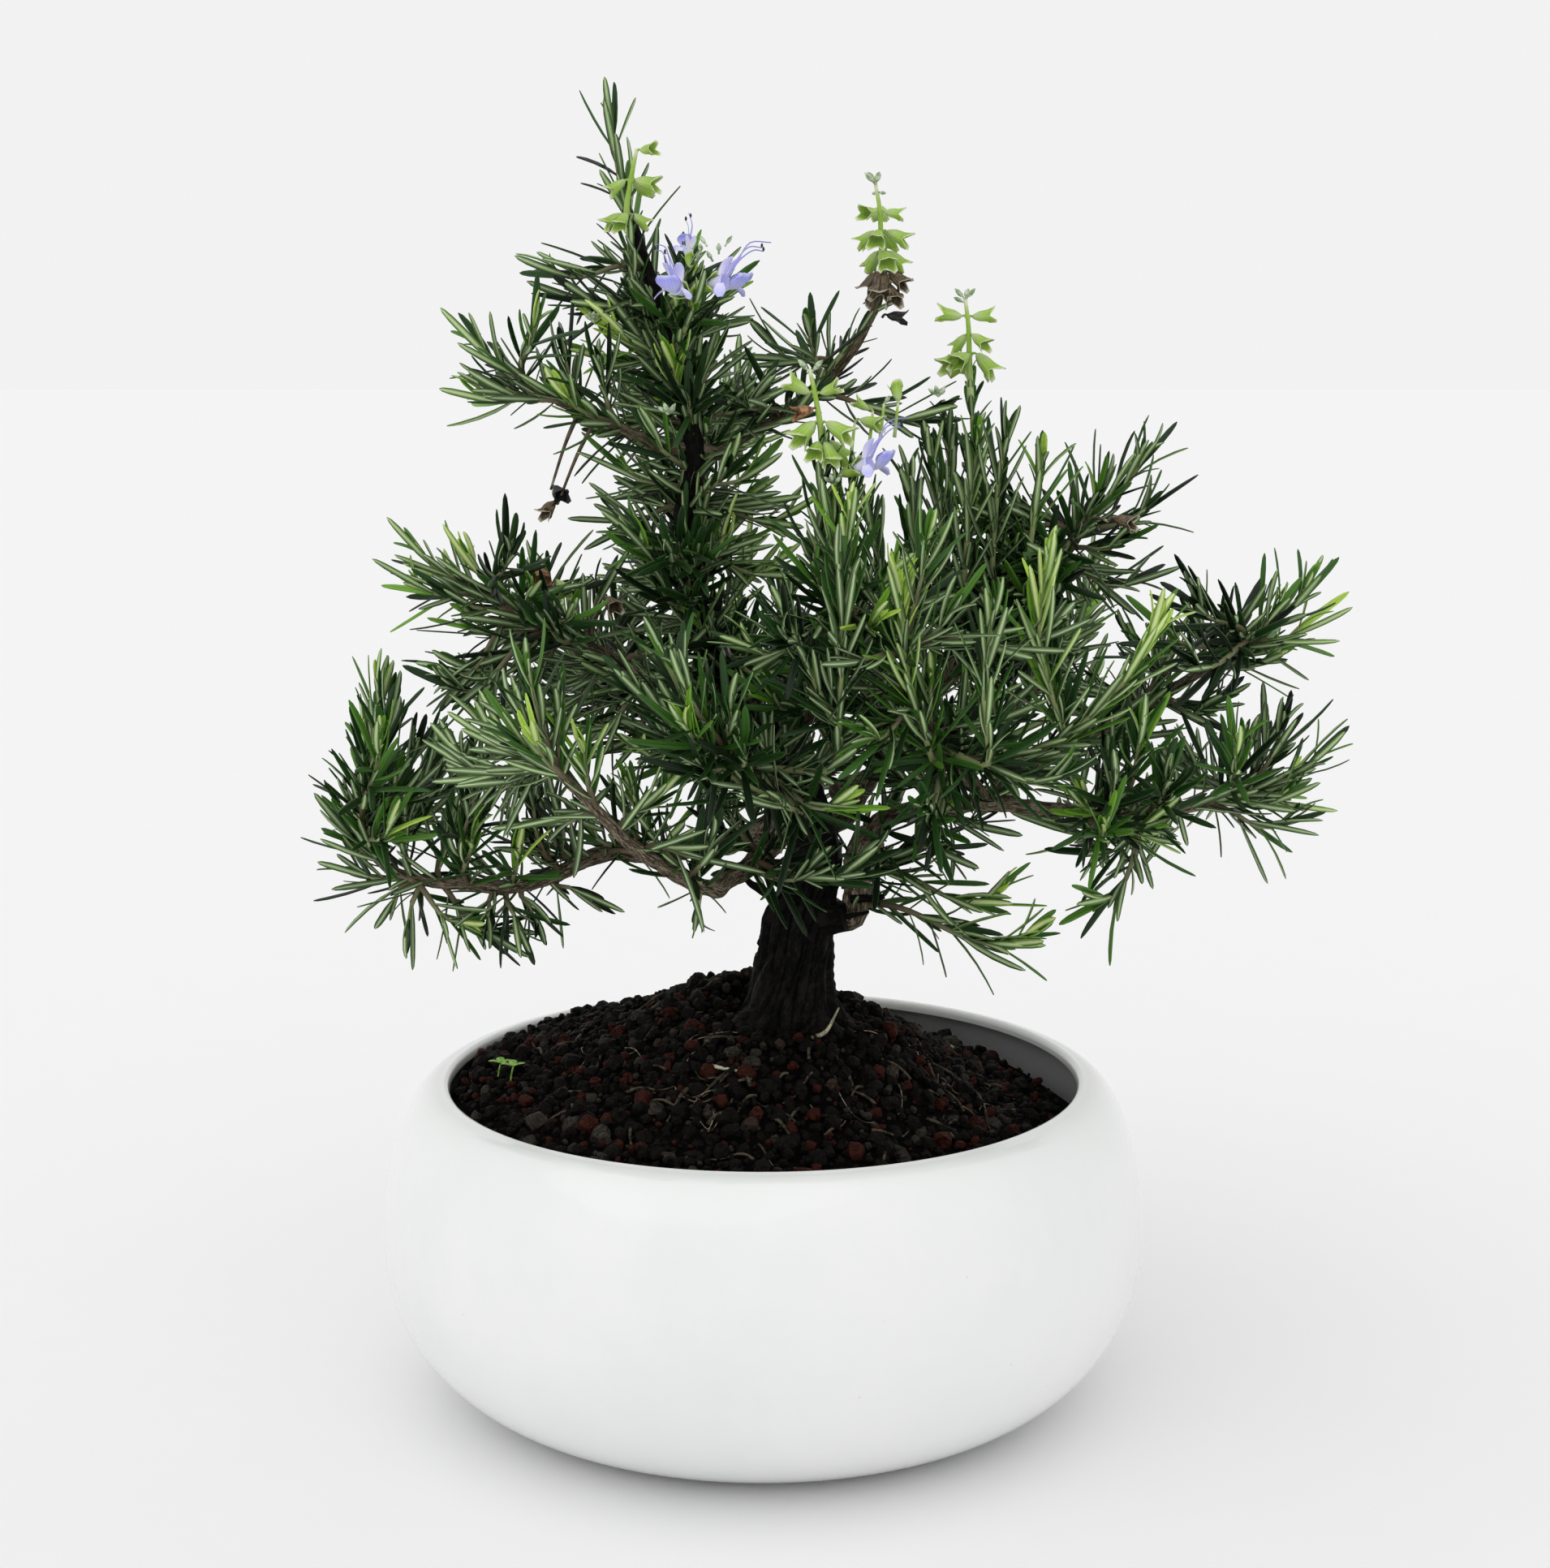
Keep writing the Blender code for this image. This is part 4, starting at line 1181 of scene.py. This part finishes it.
def makeShoots():
    chosen = random.Random(leafGrowth["seed"])
    spots = woodSpots()
    woodPoints = [p for _, _, route in branchRoutes.values() for p in smoothRoute(route, 5)]
    lines = []
    tips = []
    for start, tip in shootNodes.values():
        pull = Vector(start) - Vector(tip)
        tips.append(Vector(tip) + pull.normalized())
    hanging = {"shoot_left_low", "shoot_right_low"}
    for node, tip in zip(shootNodes, tips):
        lines.append(shootLine(tip, spots, chosen, chosen.uniform(0.2, 0.6), 0.95, node in hanging))
    for node in shootNodes:
        for tip in sideTips(node, tips, chosen):
            tips.append(tip)
            rise = 0.9 if tip.x > 0 else 0.5
            lines.append(shootLine(tip, spots, chosen, 0.95 * chosen.random() ** 1.6, 1.0, rise=rise))
    for route, size, young in shootRoutes:
        points = smoothRoute(route, 4)
        first = points[0]
        root = min(woodPoints, key=lambda p: (p - first).length + 0.8 * max(0, p.z - first.z))
        if (root - first).length < leafGrowth["footReach"]:  # a curved foot joins the shoot to its limb
            points = bend(root, (first - root).normalized(), first, (points[1] - first).normalized(),
                          6)[:-1] + points
        tips.append(points[-1])
        lines.append([(p, {"young": young, "size": size, "thick": (1.1 - 0.5 * i / len(points)) * mm,
                           "woody": 0.25,
                           "spread": 0.95, "lift": 0.12, "fullness": 0.9 + 0.1 * i / len(points)})
                      for i, p in enumerate(points)])
    for node, (first, last, count, drop) in hangingShoots.items():
        limb = smoothRoute(branchRoutes[node][2], 8)
        for number in range(count):
            place = limb[int((first + (last - first) * number / (count - 1)) * (len(limb) - 1))]
            tip = place + Vector((chosen.uniform(-4, 4), chosen.uniform(-8, -2),
                                  -drop * chosen.uniform(0.7, 1.1)))
            tips.append(tip)
            lines.append(shootLine(tip, spots, chosen, 0.1, 0.9, True))
    for centre, radii, count in leafMasses.values():
        made = 0
        for _ in range(count * 30):
            if made == count:
                break
            way = Vector((chosen.gauss(0, 1), chosen.gauss(0, 1), chosen.gauss(0, 1))).normalized()
            tip = Vector(centre) + way * Vector(radii) * chosen.random() ** 0.45
            if min((tip - other).length for other in tips) < leafGrowth["apart"]:
                continue
            beside = openSpace["left"] < tip.x < openSpace["right"]
            if beside and openSpace["bottom"] < tip.z < openSpace["top"] or tip.z < openSpace["overSoil"]:
                continue
            tips.append(tip)
            lines.append(shootLine(tip, spots, chosen, 0.7 * chosen.random() ** 2, 1.0, rise=0.9))
            made += 1
    groups = {node: [] for node in shootNodes}
    for line in lines:
        middle = (line[0][0] + line[-1][0]) / 2
        node = min(shootNodes, key=lambda n: distanceToLine(middle, *map(Vector, shootNodes[n])))
        groups[node].append(line)
    paint = leafMaterial()
    shapes = leafShapes()
    tree = leafyTree()
    total = 0
    for number, (node, members) in enumerate(groups.items()):
        if not members:
            print("no shoots for", node)
            continue
        name = capitals(node.split("_")[1:])
        inputs = {"Leaf Spacing": leafGrowth["spacing"] * mm, "Leaves": shapes,
                  "Spread At Base": leafGrowth["spreadAtBase"], "Spread At Tip": leafGrowth["spreadAtTip"],
                  "Stem Sides": 6, "Seed": leafGrowth["seed"] * 100 + number * 10, "Paint": paint}
        piece = grow("leaves" + name, lineMesh(name, members), tree, inputs)
        total += len(piece.data.polygons)
        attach(piece, "root")
        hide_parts(node)
    for shape in list(shapes.objects):
        bpy.data.objects.remove(shape)
    print(len(lines), "shoots,", total, "faces")


makeShoots()
print("leafy shoots ready")


# calyces, buds and flowers

calyxShape = {"sides": 14, "length": 5.2, "neck": 0.8, "belly": 2.1, "mouth": 2.5, "lobe": 3.2, "wall": 0.22}
flowerShape = {"tube": 5.5, "tubeRadius": 1.1, "throat": 2.2, "upperLip": 6.2, "sideLobe": 5.2,
               "lowerLip": 8.5}
# each spike: stem route, then rings of calyces as (height, [directions in degrees], size, droop, kind)
spikeShapes = {
    "calyx_spike_tall": ([(33, 0, 314), (33.3, 0, 319), (32.6, 0, 330), (32.2, 0, 338), (31, 0, 345)], [
        (309, [20], 0.8, 0.1, "black"), (320.5, [262, 338, 198, 80], 1.12, 0.9, "dry"), (317, [300, 160],
                                                                                         1.05, 1.05, "dry"),
        (326, [272, 12, 175, 110], 1.0, 0.85, "lime"), (331.5, [240, 190, 345, 60], 0.95, 0.5, "lime"),
        (337, [345, 215, 90], 0.9, 0.1, "lime"), (343, [330, 120], 0.55, 0.1, "bud"),
        (345, [170, 215, 290], 0.8, -0.75, "bud")]),
    "calyx_spike_right": ([(58, 2, 286), (57.5, 2, 296), (57, 0, 306), (56, 0, 314)], [
        (298, [250, 192, 345, 80], 1.12, 0.6, "lime"), (303.5, [300, 130], 1.0, 0.7, "lime"),
        (308.5, [185, 35], 0.95, 0.1, "lime"), (314, [170, 320, 60], 0.75, -0.7, "bud"),
        (313, [190], 0.7, -0.3, "bud")]),
    "calyx_spike_middle": ([(16, -42, 270), (15.5, -41.5, 280), (14, -41, 289), (12.5, -40, 296)], [
        (276, [300, 230, 30], 1.1, 0.7, "lime"), (281, [215, 330, 130], 1.15, 0.75, "lime"),
        (285, [192], 0.85, 0.4, "rusty"), (289, [185, 10], 0.95, -0.35, "lime"), (295, [160, 340], 0.85, -0.7,
                                                                                  "bud")]),
    "calyx_spike_left": ([(-36, -6, 330), (-37, -7, 338), (-35.5, -8, 347), (-34, -9, 354)], [
        (336, [185, 350, 270], 0.95, 0.5, "lime"), (345, [182, 335, 60], 1.0, 0.5, "lime"),
        (353, [345], 0.9, 0.0, "lime")]),
}
looseCalyces = [((25, -20, 281), 345, 1.0, 0.3, "lime"), ((30, -18, 284), 200, 0.8, -0.4, "lime"),
                ((37, -14, 286), 80, 0.8, -0.9, "lime"), ((33, -18, 286), 300, 0.6, -0.7, "bud")]
woollyBuds = [((-46, -12, 308), 5), ((-25, -34, 284), 6), ((19, -44, 266), 6), ((48, -14, 288), 6)]
driedCalyces = [((-59, -4, 262), "black"), ((-57, -6, 258), "dry"), ((-62, -4, 240), "rusty"),
                ((-58, -6, 236), "lime"),
                ((-44, -12, 232), "dry"), ((95, -14, 254), "dry")]
flowerPlaces = {
    "flower_upper_left": ((-21.5, -24, 316), (-0.35, -0.85, 0.25), 1.0),
    "flower_upper_right": ((-14, -22, 318), (0.75, -0.5, 0.1), 1.12),
    "flower_middle": ((24.5, -43, 270), (0.75, -0.45, 0.3), 1.05),
}
calyxKinds = {"lime": 0.1, "bud": 0.3, "dry": 0.5, "black": 0.7, "rusty": 0.9}
bloomSeed = 21


class Shell:
    # closed forms lofted from rings; each point keeps (across, along, kind) for its colour
    def __init__(self):
        self.points = []
        self.places = []
        self.faces = []
        self.skins = []

    def loft(self, rings, skin):
        start = len(self.points)
        count = len(rings[0])
        for ring in rings:
            for point, place in ring:
                self.points.append(point)
                self.places.append(place)
        for i in range(len(rings) - 1):
            for k in range(count):
                j = (k + 1) % count
                a, b = start + i * count, start + (i + 1) * count
                self.faces.append((a + k, a + j, b + j, b + k))
        self.faces.append(tuple(start + k for k in range(count - 1, -1, -1)))
        self.faces.append(tuple(start + (len(rings) - 1) * count + k for k in range(count)))
        self.skins += [skin] * (len(self.faces) - len(self.skins))

    def rod(self, route, start, end, kind, skin=0, sides=6):
        points = smoothRoute(route, 4)
        rings = []
        for i, p in enumerate(points):
            share = i / (len(points) - 1)
            way = (points[min(i + 1, len(points) - 1)] - points[max(i - 1, 0)]).normalized()
            side = way.cross(Vector((0.31, 0.2, 0.93))
                             if abs(way.z) < 0.9 else Vector((1, 0, 0))).normalized()
            other = way.cross(side)
            radius = start + (end - start) * share
            ring = []
            for k in range(sides):
                a = 2 * math.pi * k / sides
                ring.append((p + (side * math.cos(a) + other * math.sin(a)) * radius,
                             (k / sides, share, kind)))
            rings.append(ring)
        self.loft(rings, skin)

    def piece(self, name, paints):
        made = meshPiece(name, self.points, self.faces)
        for paint in paints:
            made.data.materials.append(paint)
        made.data.polygons.foreach_set("material_index", self.skins)
        layer = made.data.attributes.new("petalPlace", "FLOAT_VECTOR", "POINT")
        layer.data.foreach_set("vector", [c for place in self.places for c in place])
        return made


def facing(place, way, size):
    # a frame whose Z runs along way and whose Y leans up
    z = Vector(way).normalized()
    x = (up if abs(z.z) < 0.95 else Vector((0, -1, 0))).cross(z).normalized()
    y = z.cross(x)
    turn = Matrix((x, y, z)).transposed().to_4x4()
    return Matrix.Translation(Vector(place)) @ turn @ Matrix.Scale(size, 4)


def addCalyx(shell, frameAt, kind, wither=0.0):
    c = calyxShape
    tone = calyxKinds[kind]
    outer = []
    for share in (0, 0.06, 0.2, 0.45, 0.75, 1.0, 1.25, 1.6, 2.0):
        ring = []
        for k in range(c["sides"]):
            a = 2 * math.pi * k / c["sides"]
            lobes = max(max(0, math.cos((a - math.pi / 2) * 0.9)) ** 1.6 if abs(a - math.pi / 2) < 1.7 else 0,
                        max(0, math.cos((a - 3.85) * 1.9)) ** 1.2 if abs(a - 3.85) < 0.83 else 0,
                        max(0, math.cos((a - 5.57) * 1.9)) ** 1.2 if abs(a - 5.57) < 0.83 else 0)
            body = min(share, 1.0)
            over = max(0, share - 1.0)
            radius = c["neck"] + (c["belly"] - c["neck"]) * math.sin(min(1, body * 1.6) * math.pi / 2)
            radius += (c["mouth"] - c["belly"]) * body ** 3 + over * lobes * 1.5
            radius *= 1 + 0.05 * math.cos(7 * a) + wither * 0.16 * math.sin(3 * a + share * 4)
            height = c["length"] * body + c["lobe"] * over * lobes
            ring.append((Vector((radius * math.cos(a), radius * 0.86 * math.sin(a), height)),
                         (k / c["sides"], share / 2, tone)))
        outer.append(ring)
    inner = []
    for ring in outer[:1:-1]:
        thin = []
        for point, (across, along, _) in ring:
            flat = Vector((point.x, point.y, 0))
            shrink = 1 - c["wall"] / max(flat.length, 0.6)
            thin.append((Vector((point.x * shrink, point.y * shrink, point.z - 0.04)),
                         (across, along, tone + 0.1)))
        inner.append(thin)
    rings = [[(frameAt @ point, place) for point, place in ring] for ring in outer + inner]
    shell.loft(rings, 0)


def addBud(shell, frameAt, tone=0.3):
    rings = []
    for share, radius in ((0, 0.35), (0.12, 0.8), (0.35, 1.2), (0.6, 1.15), (0.82, 0.75), (1, 0.2)):
        rings.append([(frameAt @ Vector((radius * math.cos(t * 0.785), radius * 0.8 * math.sin(t * 0.785),
                                         share * 4.4)),
                       (t / 8, share, tone)) for t in range(8)])
    shell.loft(rings, 0)


def addPetal(shell, frameAt, length, halves, curl, cup, frill, kind, lean=0.0):
    # a petal along Z of its frame, with its face to Y; curl bends it away from its face
    columns = 8
    rows = len(halves) * 2
    rings = []
    y = z = 0.0
    for i in range(rows + 1):
        share = i / rows
        place = share * (len(halves) - 1)
        at = min(int(place), len(halves) - 2)
        half = halves[at] + (halves[at + 1] - halves[at]) * (place - at)
        angle = curl * share + lean
        if i:
            y -= math.sin(angle) * length / rows
            z += math.cos(angle) * length / rows
        top = []
        bottom = []
        for k in range(columns + 1):
            u = 2 * k / columns - 1
            wave = frill * math.sin(u * 8 + share * 5) * share ** 2 * abs(u)
            lift = (cup * half * u * u + wave) * (1 if k % 2 or frill == 0 else 0.9)
            normal = Vector((0, math.cos(angle), math.sin(angle)))
            base = Vector((half * u, y, z)) + normal * lift
            thick = 0.09 * (1 - u * u)
            top.append((frameAt @ (base + normal * thick), (u * 0.5 + 0.5, share, kind)))
            bottom.append((frameAt @ (base - normal * thick), (u * 0.5 + 0.5, share, kind)))
        rings.append(top + bottom[-2:0:-1])
    shell.loft(rings, 1)


def addFlower(shell, place, way, size):
    f = flowerShape
    frameAt = facing(place, way, size)
    addCalyx(shell, frameAt @ Matrix.Translation((0, 0, -4.5)) @ Matrix.Scale(0.85, 4), "lime")
    rings = []
    for share in (0, 0.15, 0.4, 0.7, 0.9, 1.0):
        radius = f["tubeRadius"] + (f["throat"] - f["tubeRadius"]) * share ** 1.6
        rings.append([(frameAt @ Vector((radius * math.cos(t * 0.524), radius * math.sin(t * 0.524),
                                         share * f["tube"] - 1)),
                       (t / 12, share, 0.05)) for t in range(12)])
    inner = [[(frameAt @ Vector((0.86 * radius * math.cos(t * 0.524), 0.86 * radius * math.sin(t * 0.524),
                                 h)),
               (t / 12, 1, 0.1)) for t in range(12)] for radius,
             h in ((2.15, f["tube"] - 1), (1.5, 2.2), (1.0, 0.5))]
    shell.loft(rings + inner, 1)
    mouth = frameAt @ Matrix.Translation((0, 0, f["tube"] - 1.4))

    def lobe(x, y, tip, roll, length, halves, curl, cup, frill, kind, lean=0.0):
        turn = Matrix.Rotation(roll, 4, "Y") @ Matrix.Rotation(tip, 4, "X")
        addPetal(shell, mouth @ Matrix.Translation((x, y, 0)) @ turn, length, halves, curl, cup, frill, kind,
                 lean)

    for side in (-1, 1):
        lobe(side * 0.7, 1.6, -0.95, side * 0.34, f["upperLip"], (1.1, 1.35, 1.45, 1.3, 0.5), 0.5, 0.25, 0.12,
             0.3)
        lobe(side * 1.7, -0.2, 0.35, side * 1.05, f["sideLobe"], (0.9, 1.1, 1.5, 1.6, 0.7), 0.7, 0.2, 0.25,
             0.5)
    lobe(0, -1.5, 0.45, 0, f["lowerLip"], (0.9, 1.2, 2.6, 3.9, 3.9, 2.6), -1.5, 0.35, 0.85, 0.7)
    for side, reach in ((-0.5, 1.0), (0.5, 0.9), (0.0, 1.15)):
        arc = [(side, 1.2, 1), (side * 1.3, 4.6, 4.5), (side * 1.8, 7.2 * reach, 8.5),
               (side * 2.4, 6.6 * reach, 12.5 * reach)]
        shell.rod([mouth @ Vector(p) for p in arc], 0.24 * size, 0.13 * size, 0.9, 1)
        if side:
            end = mouth @ Vector(arc[-1])
            addBud(shell, Matrix.Translation(end) @ Matrix.Scale(0.28, 4), 0.75)


def calyxMaterial():
    material, tree = startMaterial("calyxGreen")
    place = tree.split(attribute(tree, "petalPlace"))
    kind = place["Z"]
    along = place["Y"]
    fuzz = tree.noise(objectPlace(tree), 700, 4)["Fac"]
    ribs = ((place["X"] * 14 * math.pi).math("SINE")).math("ABSOLUTE")
    lime = tree.ramp(along + (fuzz - 0.5) * 0.3, [(0.0, tint(186, 204, 146)), (0.35, tint(158, 192, 84)),
                                                  (0.7, tint(140, 180, 44)), (1.0, tint(196, 214, 128))])
    lime = tree.mix(tree.step(ribs, 0.35, 0.1) * 0.35, lime, tint(214, 224, 172))
    lime = tree.mix(tree.step(along, 0.86, 0.98) * 0.8, lime, tint(228, 236, 206))
    bud = tree.mix(tree.step(fuzz, 0.4, 0.6), tint(128, 154, 112), tint(206, 218, 188))
    dry = tree.mix(tree.step(fuzz + ribs * 0.25, 0.45, 0.8), tint(36, 27, 18), tint(112, 94, 70))
    dry = tree.mix(tree.step(along, 0.84, 0.96) * 0.85, dry, tint(196, 188, 166))
    black = tree.mix(tree.step(fuzz, 0.4, 0.7), tint(12, 13, 13), tint(52, 54, 50))
    rusty = tree.mix(tree.step(fuzz, 0.35, 0.65), tint(86, 46, 24), tint(184, 136, 92))
    colour = byKind(tree, kind, lime, ((0.25, bud), (0.45, dry), (0.65, black), (0.85, rusty)))
    endMaterial(tree, {"Base Color": colour, "Roughness": 0.55 + (fuzz - 0.5) * 0.3}, ribs * 0.5 + fuzz, 0.35,
                0.0003)
    return material


def petalMaterial():
    material, tree = startMaterial("paleViolet")
    place = tree.split(attribute(tree, "petalPlace"))
    kind = place["Z"]
    along = place["Y"]
    across = (place["X"] - 0.5).math("ABSOLUTE")
    cloud = tree.noise(objectPlace(tree), 420, 4)["Fac"]
    pale = tree.mix(tree.step(along + (cloud - 0.5) * 0.4, 0.1, 0.8), tint(240, 238, 252),
                    tint(214, 212, 249))
    deep = tree.ramp(along + (cloud - 0.5) * 0.3, [(0.0, tint(238, 236, 252)), (0.5, tint(198, 198, 250)),
                                                   (0.85, tint(160, 160, 243)), (1.0, tint(204, 204, 250))])
    veins = tree.step((across * 30 + cloud * 2).math("SINE").math("ABSOLUTE"), 0.28,
                      0.05) * tree.step(along, 0.15, 0.4)
    deep = tree.mix(veins * 0.55, deep, tint(92, 88, 200))
    colour = tree.mix(tree.step(kind, 0.4, 0.6), pale, deep)
    colour = tree.mix(tree.step(kind, 0.84, 0.86), colour,
                      tree.mix(along, tint(206, 204, 250), tint(120, 118, 200)))
    # the petals glow faintly in their own colour: painted light
    endMaterial(tree, {"Base Color": colour, "Roughness": 0.5, "Emission Color": colour,
                       "Emission Strength": 0.06},
                cloud, 0.2, 0.0002)
    return material


def hangCalyx(shell, root, degrees, size, droop, kind, chosen):
    a = math.radians(degrees + chosen.uniform(-12, 12))
    out = Vector((math.cos(a), math.sin(a), 0))
    root = Vector(root)
    if kind == "bud":
        way = out * 0.7 - up * droop
        tipAt = root + way.normalized() * 1.4 * size
        shell.rod([root, tipAt], 0.35, 0.3, calyxKinds["bud"])
        addBud(shell, facing(tipAt, way, size * 0.95))
        return
    size *= chosen.uniform(0.84, 1.08)
    droop += chosen.uniform(-0.25, 0.25)
    joint = root + out * 1.9 * size + up * 0.9 * size
    shell.rod([root, root + out * 0.9 * size + up * 1.1 * size, joint], 0.4, 0.32, calyxKinds[kind])
    way = out * math.cos(droop) - up * math.sin(droop)
    way += Vector((-out.y, out.x, 0)) * chosen.uniform(-0.45, 0.45)
    addCalyx(shell, facing(joint, way, size * 0.86), kind, 1.0 if kind in ("dry", "black", "rusty") else 0.2)


def makeBlooms():
    chosen = random.Random(bloomSeed)
    paints = [calyxMaterial(), petalMaterial()]
    for node, (route, rings) in spikeShapes.items():
        shell = Shell()
        shell.rod(route, 1.0, 0.5, calyxKinds["lime"], 0, 8)
        stem = smoothRoute(route, 6)
        for height, directions, size, droop, kind in rings:
            root = min(stem, key=lambda p: abs(p.z - height))
            root = Vector((root.x, root.y, height))
            for degrees in directions:
                hangCalyx(shell, root, degrees, size, droop, kind, chosen)
        if node == "calyx_spike_middle":
            for root, degrees, size, droop, kind in looseCalyces:
                shell.rod([Vector(root) - Vector((1, 2, 9)), root], 0.6, 0.4, calyxKinds["lime"])
                hangCalyx(shell, root, degrees, size, droop, kind, chosen)
            for spot, count in woollyBuds:
                for number in range(count):
                    hangCalyx(shell, spot, number * 360 / count, 0.62, -1.0 + 0.5 * (number % 2), "bud",
                              chosen)
        if node == "calyx_spike_left":
            wood = [p for limb in branchRoutes.values() for p in smoothRoute(limb[2], 6)]
            for spot, kind in driedCalyces:
                end = Vector(spot)
                foot = min(wood, key=lambda p: (p - end).length)
                shell.rod([foot, (foot + end) / 2 + up * 1.5, end], 0.7, 0.4, calyxKinds["dry"])
                hangCalyx(shell, spot, chosen.uniform(180, 360), 0.9, 0.5, kind, chosen)
        name = "calyx" + node.split("_")[-1].capitalize()
        spike = shell.piece(name, paints[:1])
        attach(spike, "root")
        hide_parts(node)
    for node, (place, way, size) in flowerPlaces.items():
        shell = Shell()
        addFlower(shell, place, way, size)
        back = Vector(place) - Vector(way).normalized() * 4.4 * size
        shell.rod([back - up * 6 - Vector(way) * 2, back - up * 1.5 - Vector(way) * 1.5, back], 0.6, 0.5, 0.1)
        if node == "flower_upper_left":
            addFlower(shell, (-20, -13, 325), (-0.2, 0.3, 0.9), 0.6)
        if node == "flower_upper_right":
            for number in range(6):
                hangCalyx(shell, (-18 + number * 1.6, -22, 324 + 2 * (number % 3)), 40 + number * 60, 0.62,
                          -0.9, "bud", chosen)
        flower = shell.piece("flower" + capitals(node.split("_")[1:]), paints)
        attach(flower, "root")
        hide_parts(node)


makeBlooms()
print("calyces and flowers ready")


# fallen leaves, roots and a seedling on the soil

litter = {"roots": 34, "needles": 70, "twigs": 10, "seed": 8, "nearest": 24, "reach": 50, "limit": 83}
litterKinds = (("roots", (7, 20), (0.12, 0.24), 0.55, 0.1), ("needles", (8, 16), (0.35, 0.6), 0.25, 0.4),
               ("twigs", (8, 14), (0.5, 0.8), 0.1, 0.4))


def litterMaterial():
    material, tree = startMaterial("dryLitter")
    place = tree.split(attribute(tree, "petalPlace"))
    kind = place["Z"]
    grain = tree.noise(objectPlace(tree), 600, 4)["Fac"]
    root = tree.mix(tree.step(grain, 0.4, 0.65), tint(58, 50, 40), tint(150, 140, 120))
    needle = tree.mix(tree.step(grain, 0.35, 0.65), tint(28, 24, 19), tint(84, 76, 62))
    strap = tree.mix(tree.step(grain, 0.4, 0.6), tint(128, 126, 100), tint(190, 190, 158))
    fresh = tree.mix(tree.step(grain, 0.4, 0.6), tint(104, 152, 62), tint(160, 198, 104))
    colour = byKind(tree, kind, root, ((0.25, needle), (0.5, strap), (0.75, fresh)))
    endMaterial(tree, {"Base Color": colour, "Roughness": 0.7 + (grain - 0.5) * 0.3,
                       "Specular IOR Level": 0.15},
                grain, 0.3, 0.0003)
    return material


def lyingRoute(x, y, angle, reach, curl, lift):
    route = []
    for step in range(6):
        z = soilHeight(x, y) + lift + 0.7 * math.sin(step * 1.3)
        route.append(Vector((x, y, z)))
        x += math.cos(angle) * reach / 5
        y += math.sin(angle) * reach / 5
        angle += curl
    return route


def makeLitter():
    chosen = random.Random(litter["seed"])
    shell = Shell()
    for name, reach, radius, curl, kind in litterKinds:
        for _ in range(litter[name]):
            away = litter["nearest"] + litter["reach"] * chosen.random() ** 0.7
            a = chosen.uniform(0, 2 * math.pi)
            x, y = 4 + away * math.cos(a), away * math.sin(a)
            length = chosen.uniform(*reach)
            turn = chosen.uniform(-curl, curl)
            thick = chosen.uniform(*radius)
            route = lyingRoute(x, y, chosen.uniform(0, 6.28), length, turn, 1.3)
            if any(Vector((p.x, p.y)).length > litter["limit"] for p in route):
                continue
            shell.rod(route, thick, thick * 0.4, kind if chosen.random() < 0.93 else 0.6)
    for route, thick in (([(14, -18, 108), (18, -19, 110.5), (21.5, -18, 117)], 0.9),
                         ([(-14, -34, 104.5), (-8, -38, 104.5), (-3, -39, 104)], 0.7),
                         ([(-46, -20, 98), (-40, -16, 101.5), (-33, -13, 104)], 0.6)):
        shell.rod(route, thick, 0.25, 0.6)
    for x, y, count in ((-76, -12, 4), (-72, -16, 3)):
        base = Vector((x, y, soilHeight(x, y)))
        shell.rod([base, base + Vector((0.5, -0.5, 3)), base + Vector((1, -1, 5))], 0.3, 0.25, 0.9)
        for number in range(count):
            a = number * 1.7
            way = Vector((math.cos(a), math.sin(a), 0.6))
            addPetal(shell, facing(base + Vector((1, -1, 5)), way, 1), 3.6, (0.4, 1.0, 1.3, 0.9, 0.2), 0.5,
                     0.2, 0, 0.9)
    shell.skins = [0] * len(shell.skins)
    piece = shell.piece("soilLitter", [litterMaterial()])
    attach(piece, "root")


makeLitter()
print("litter ready")
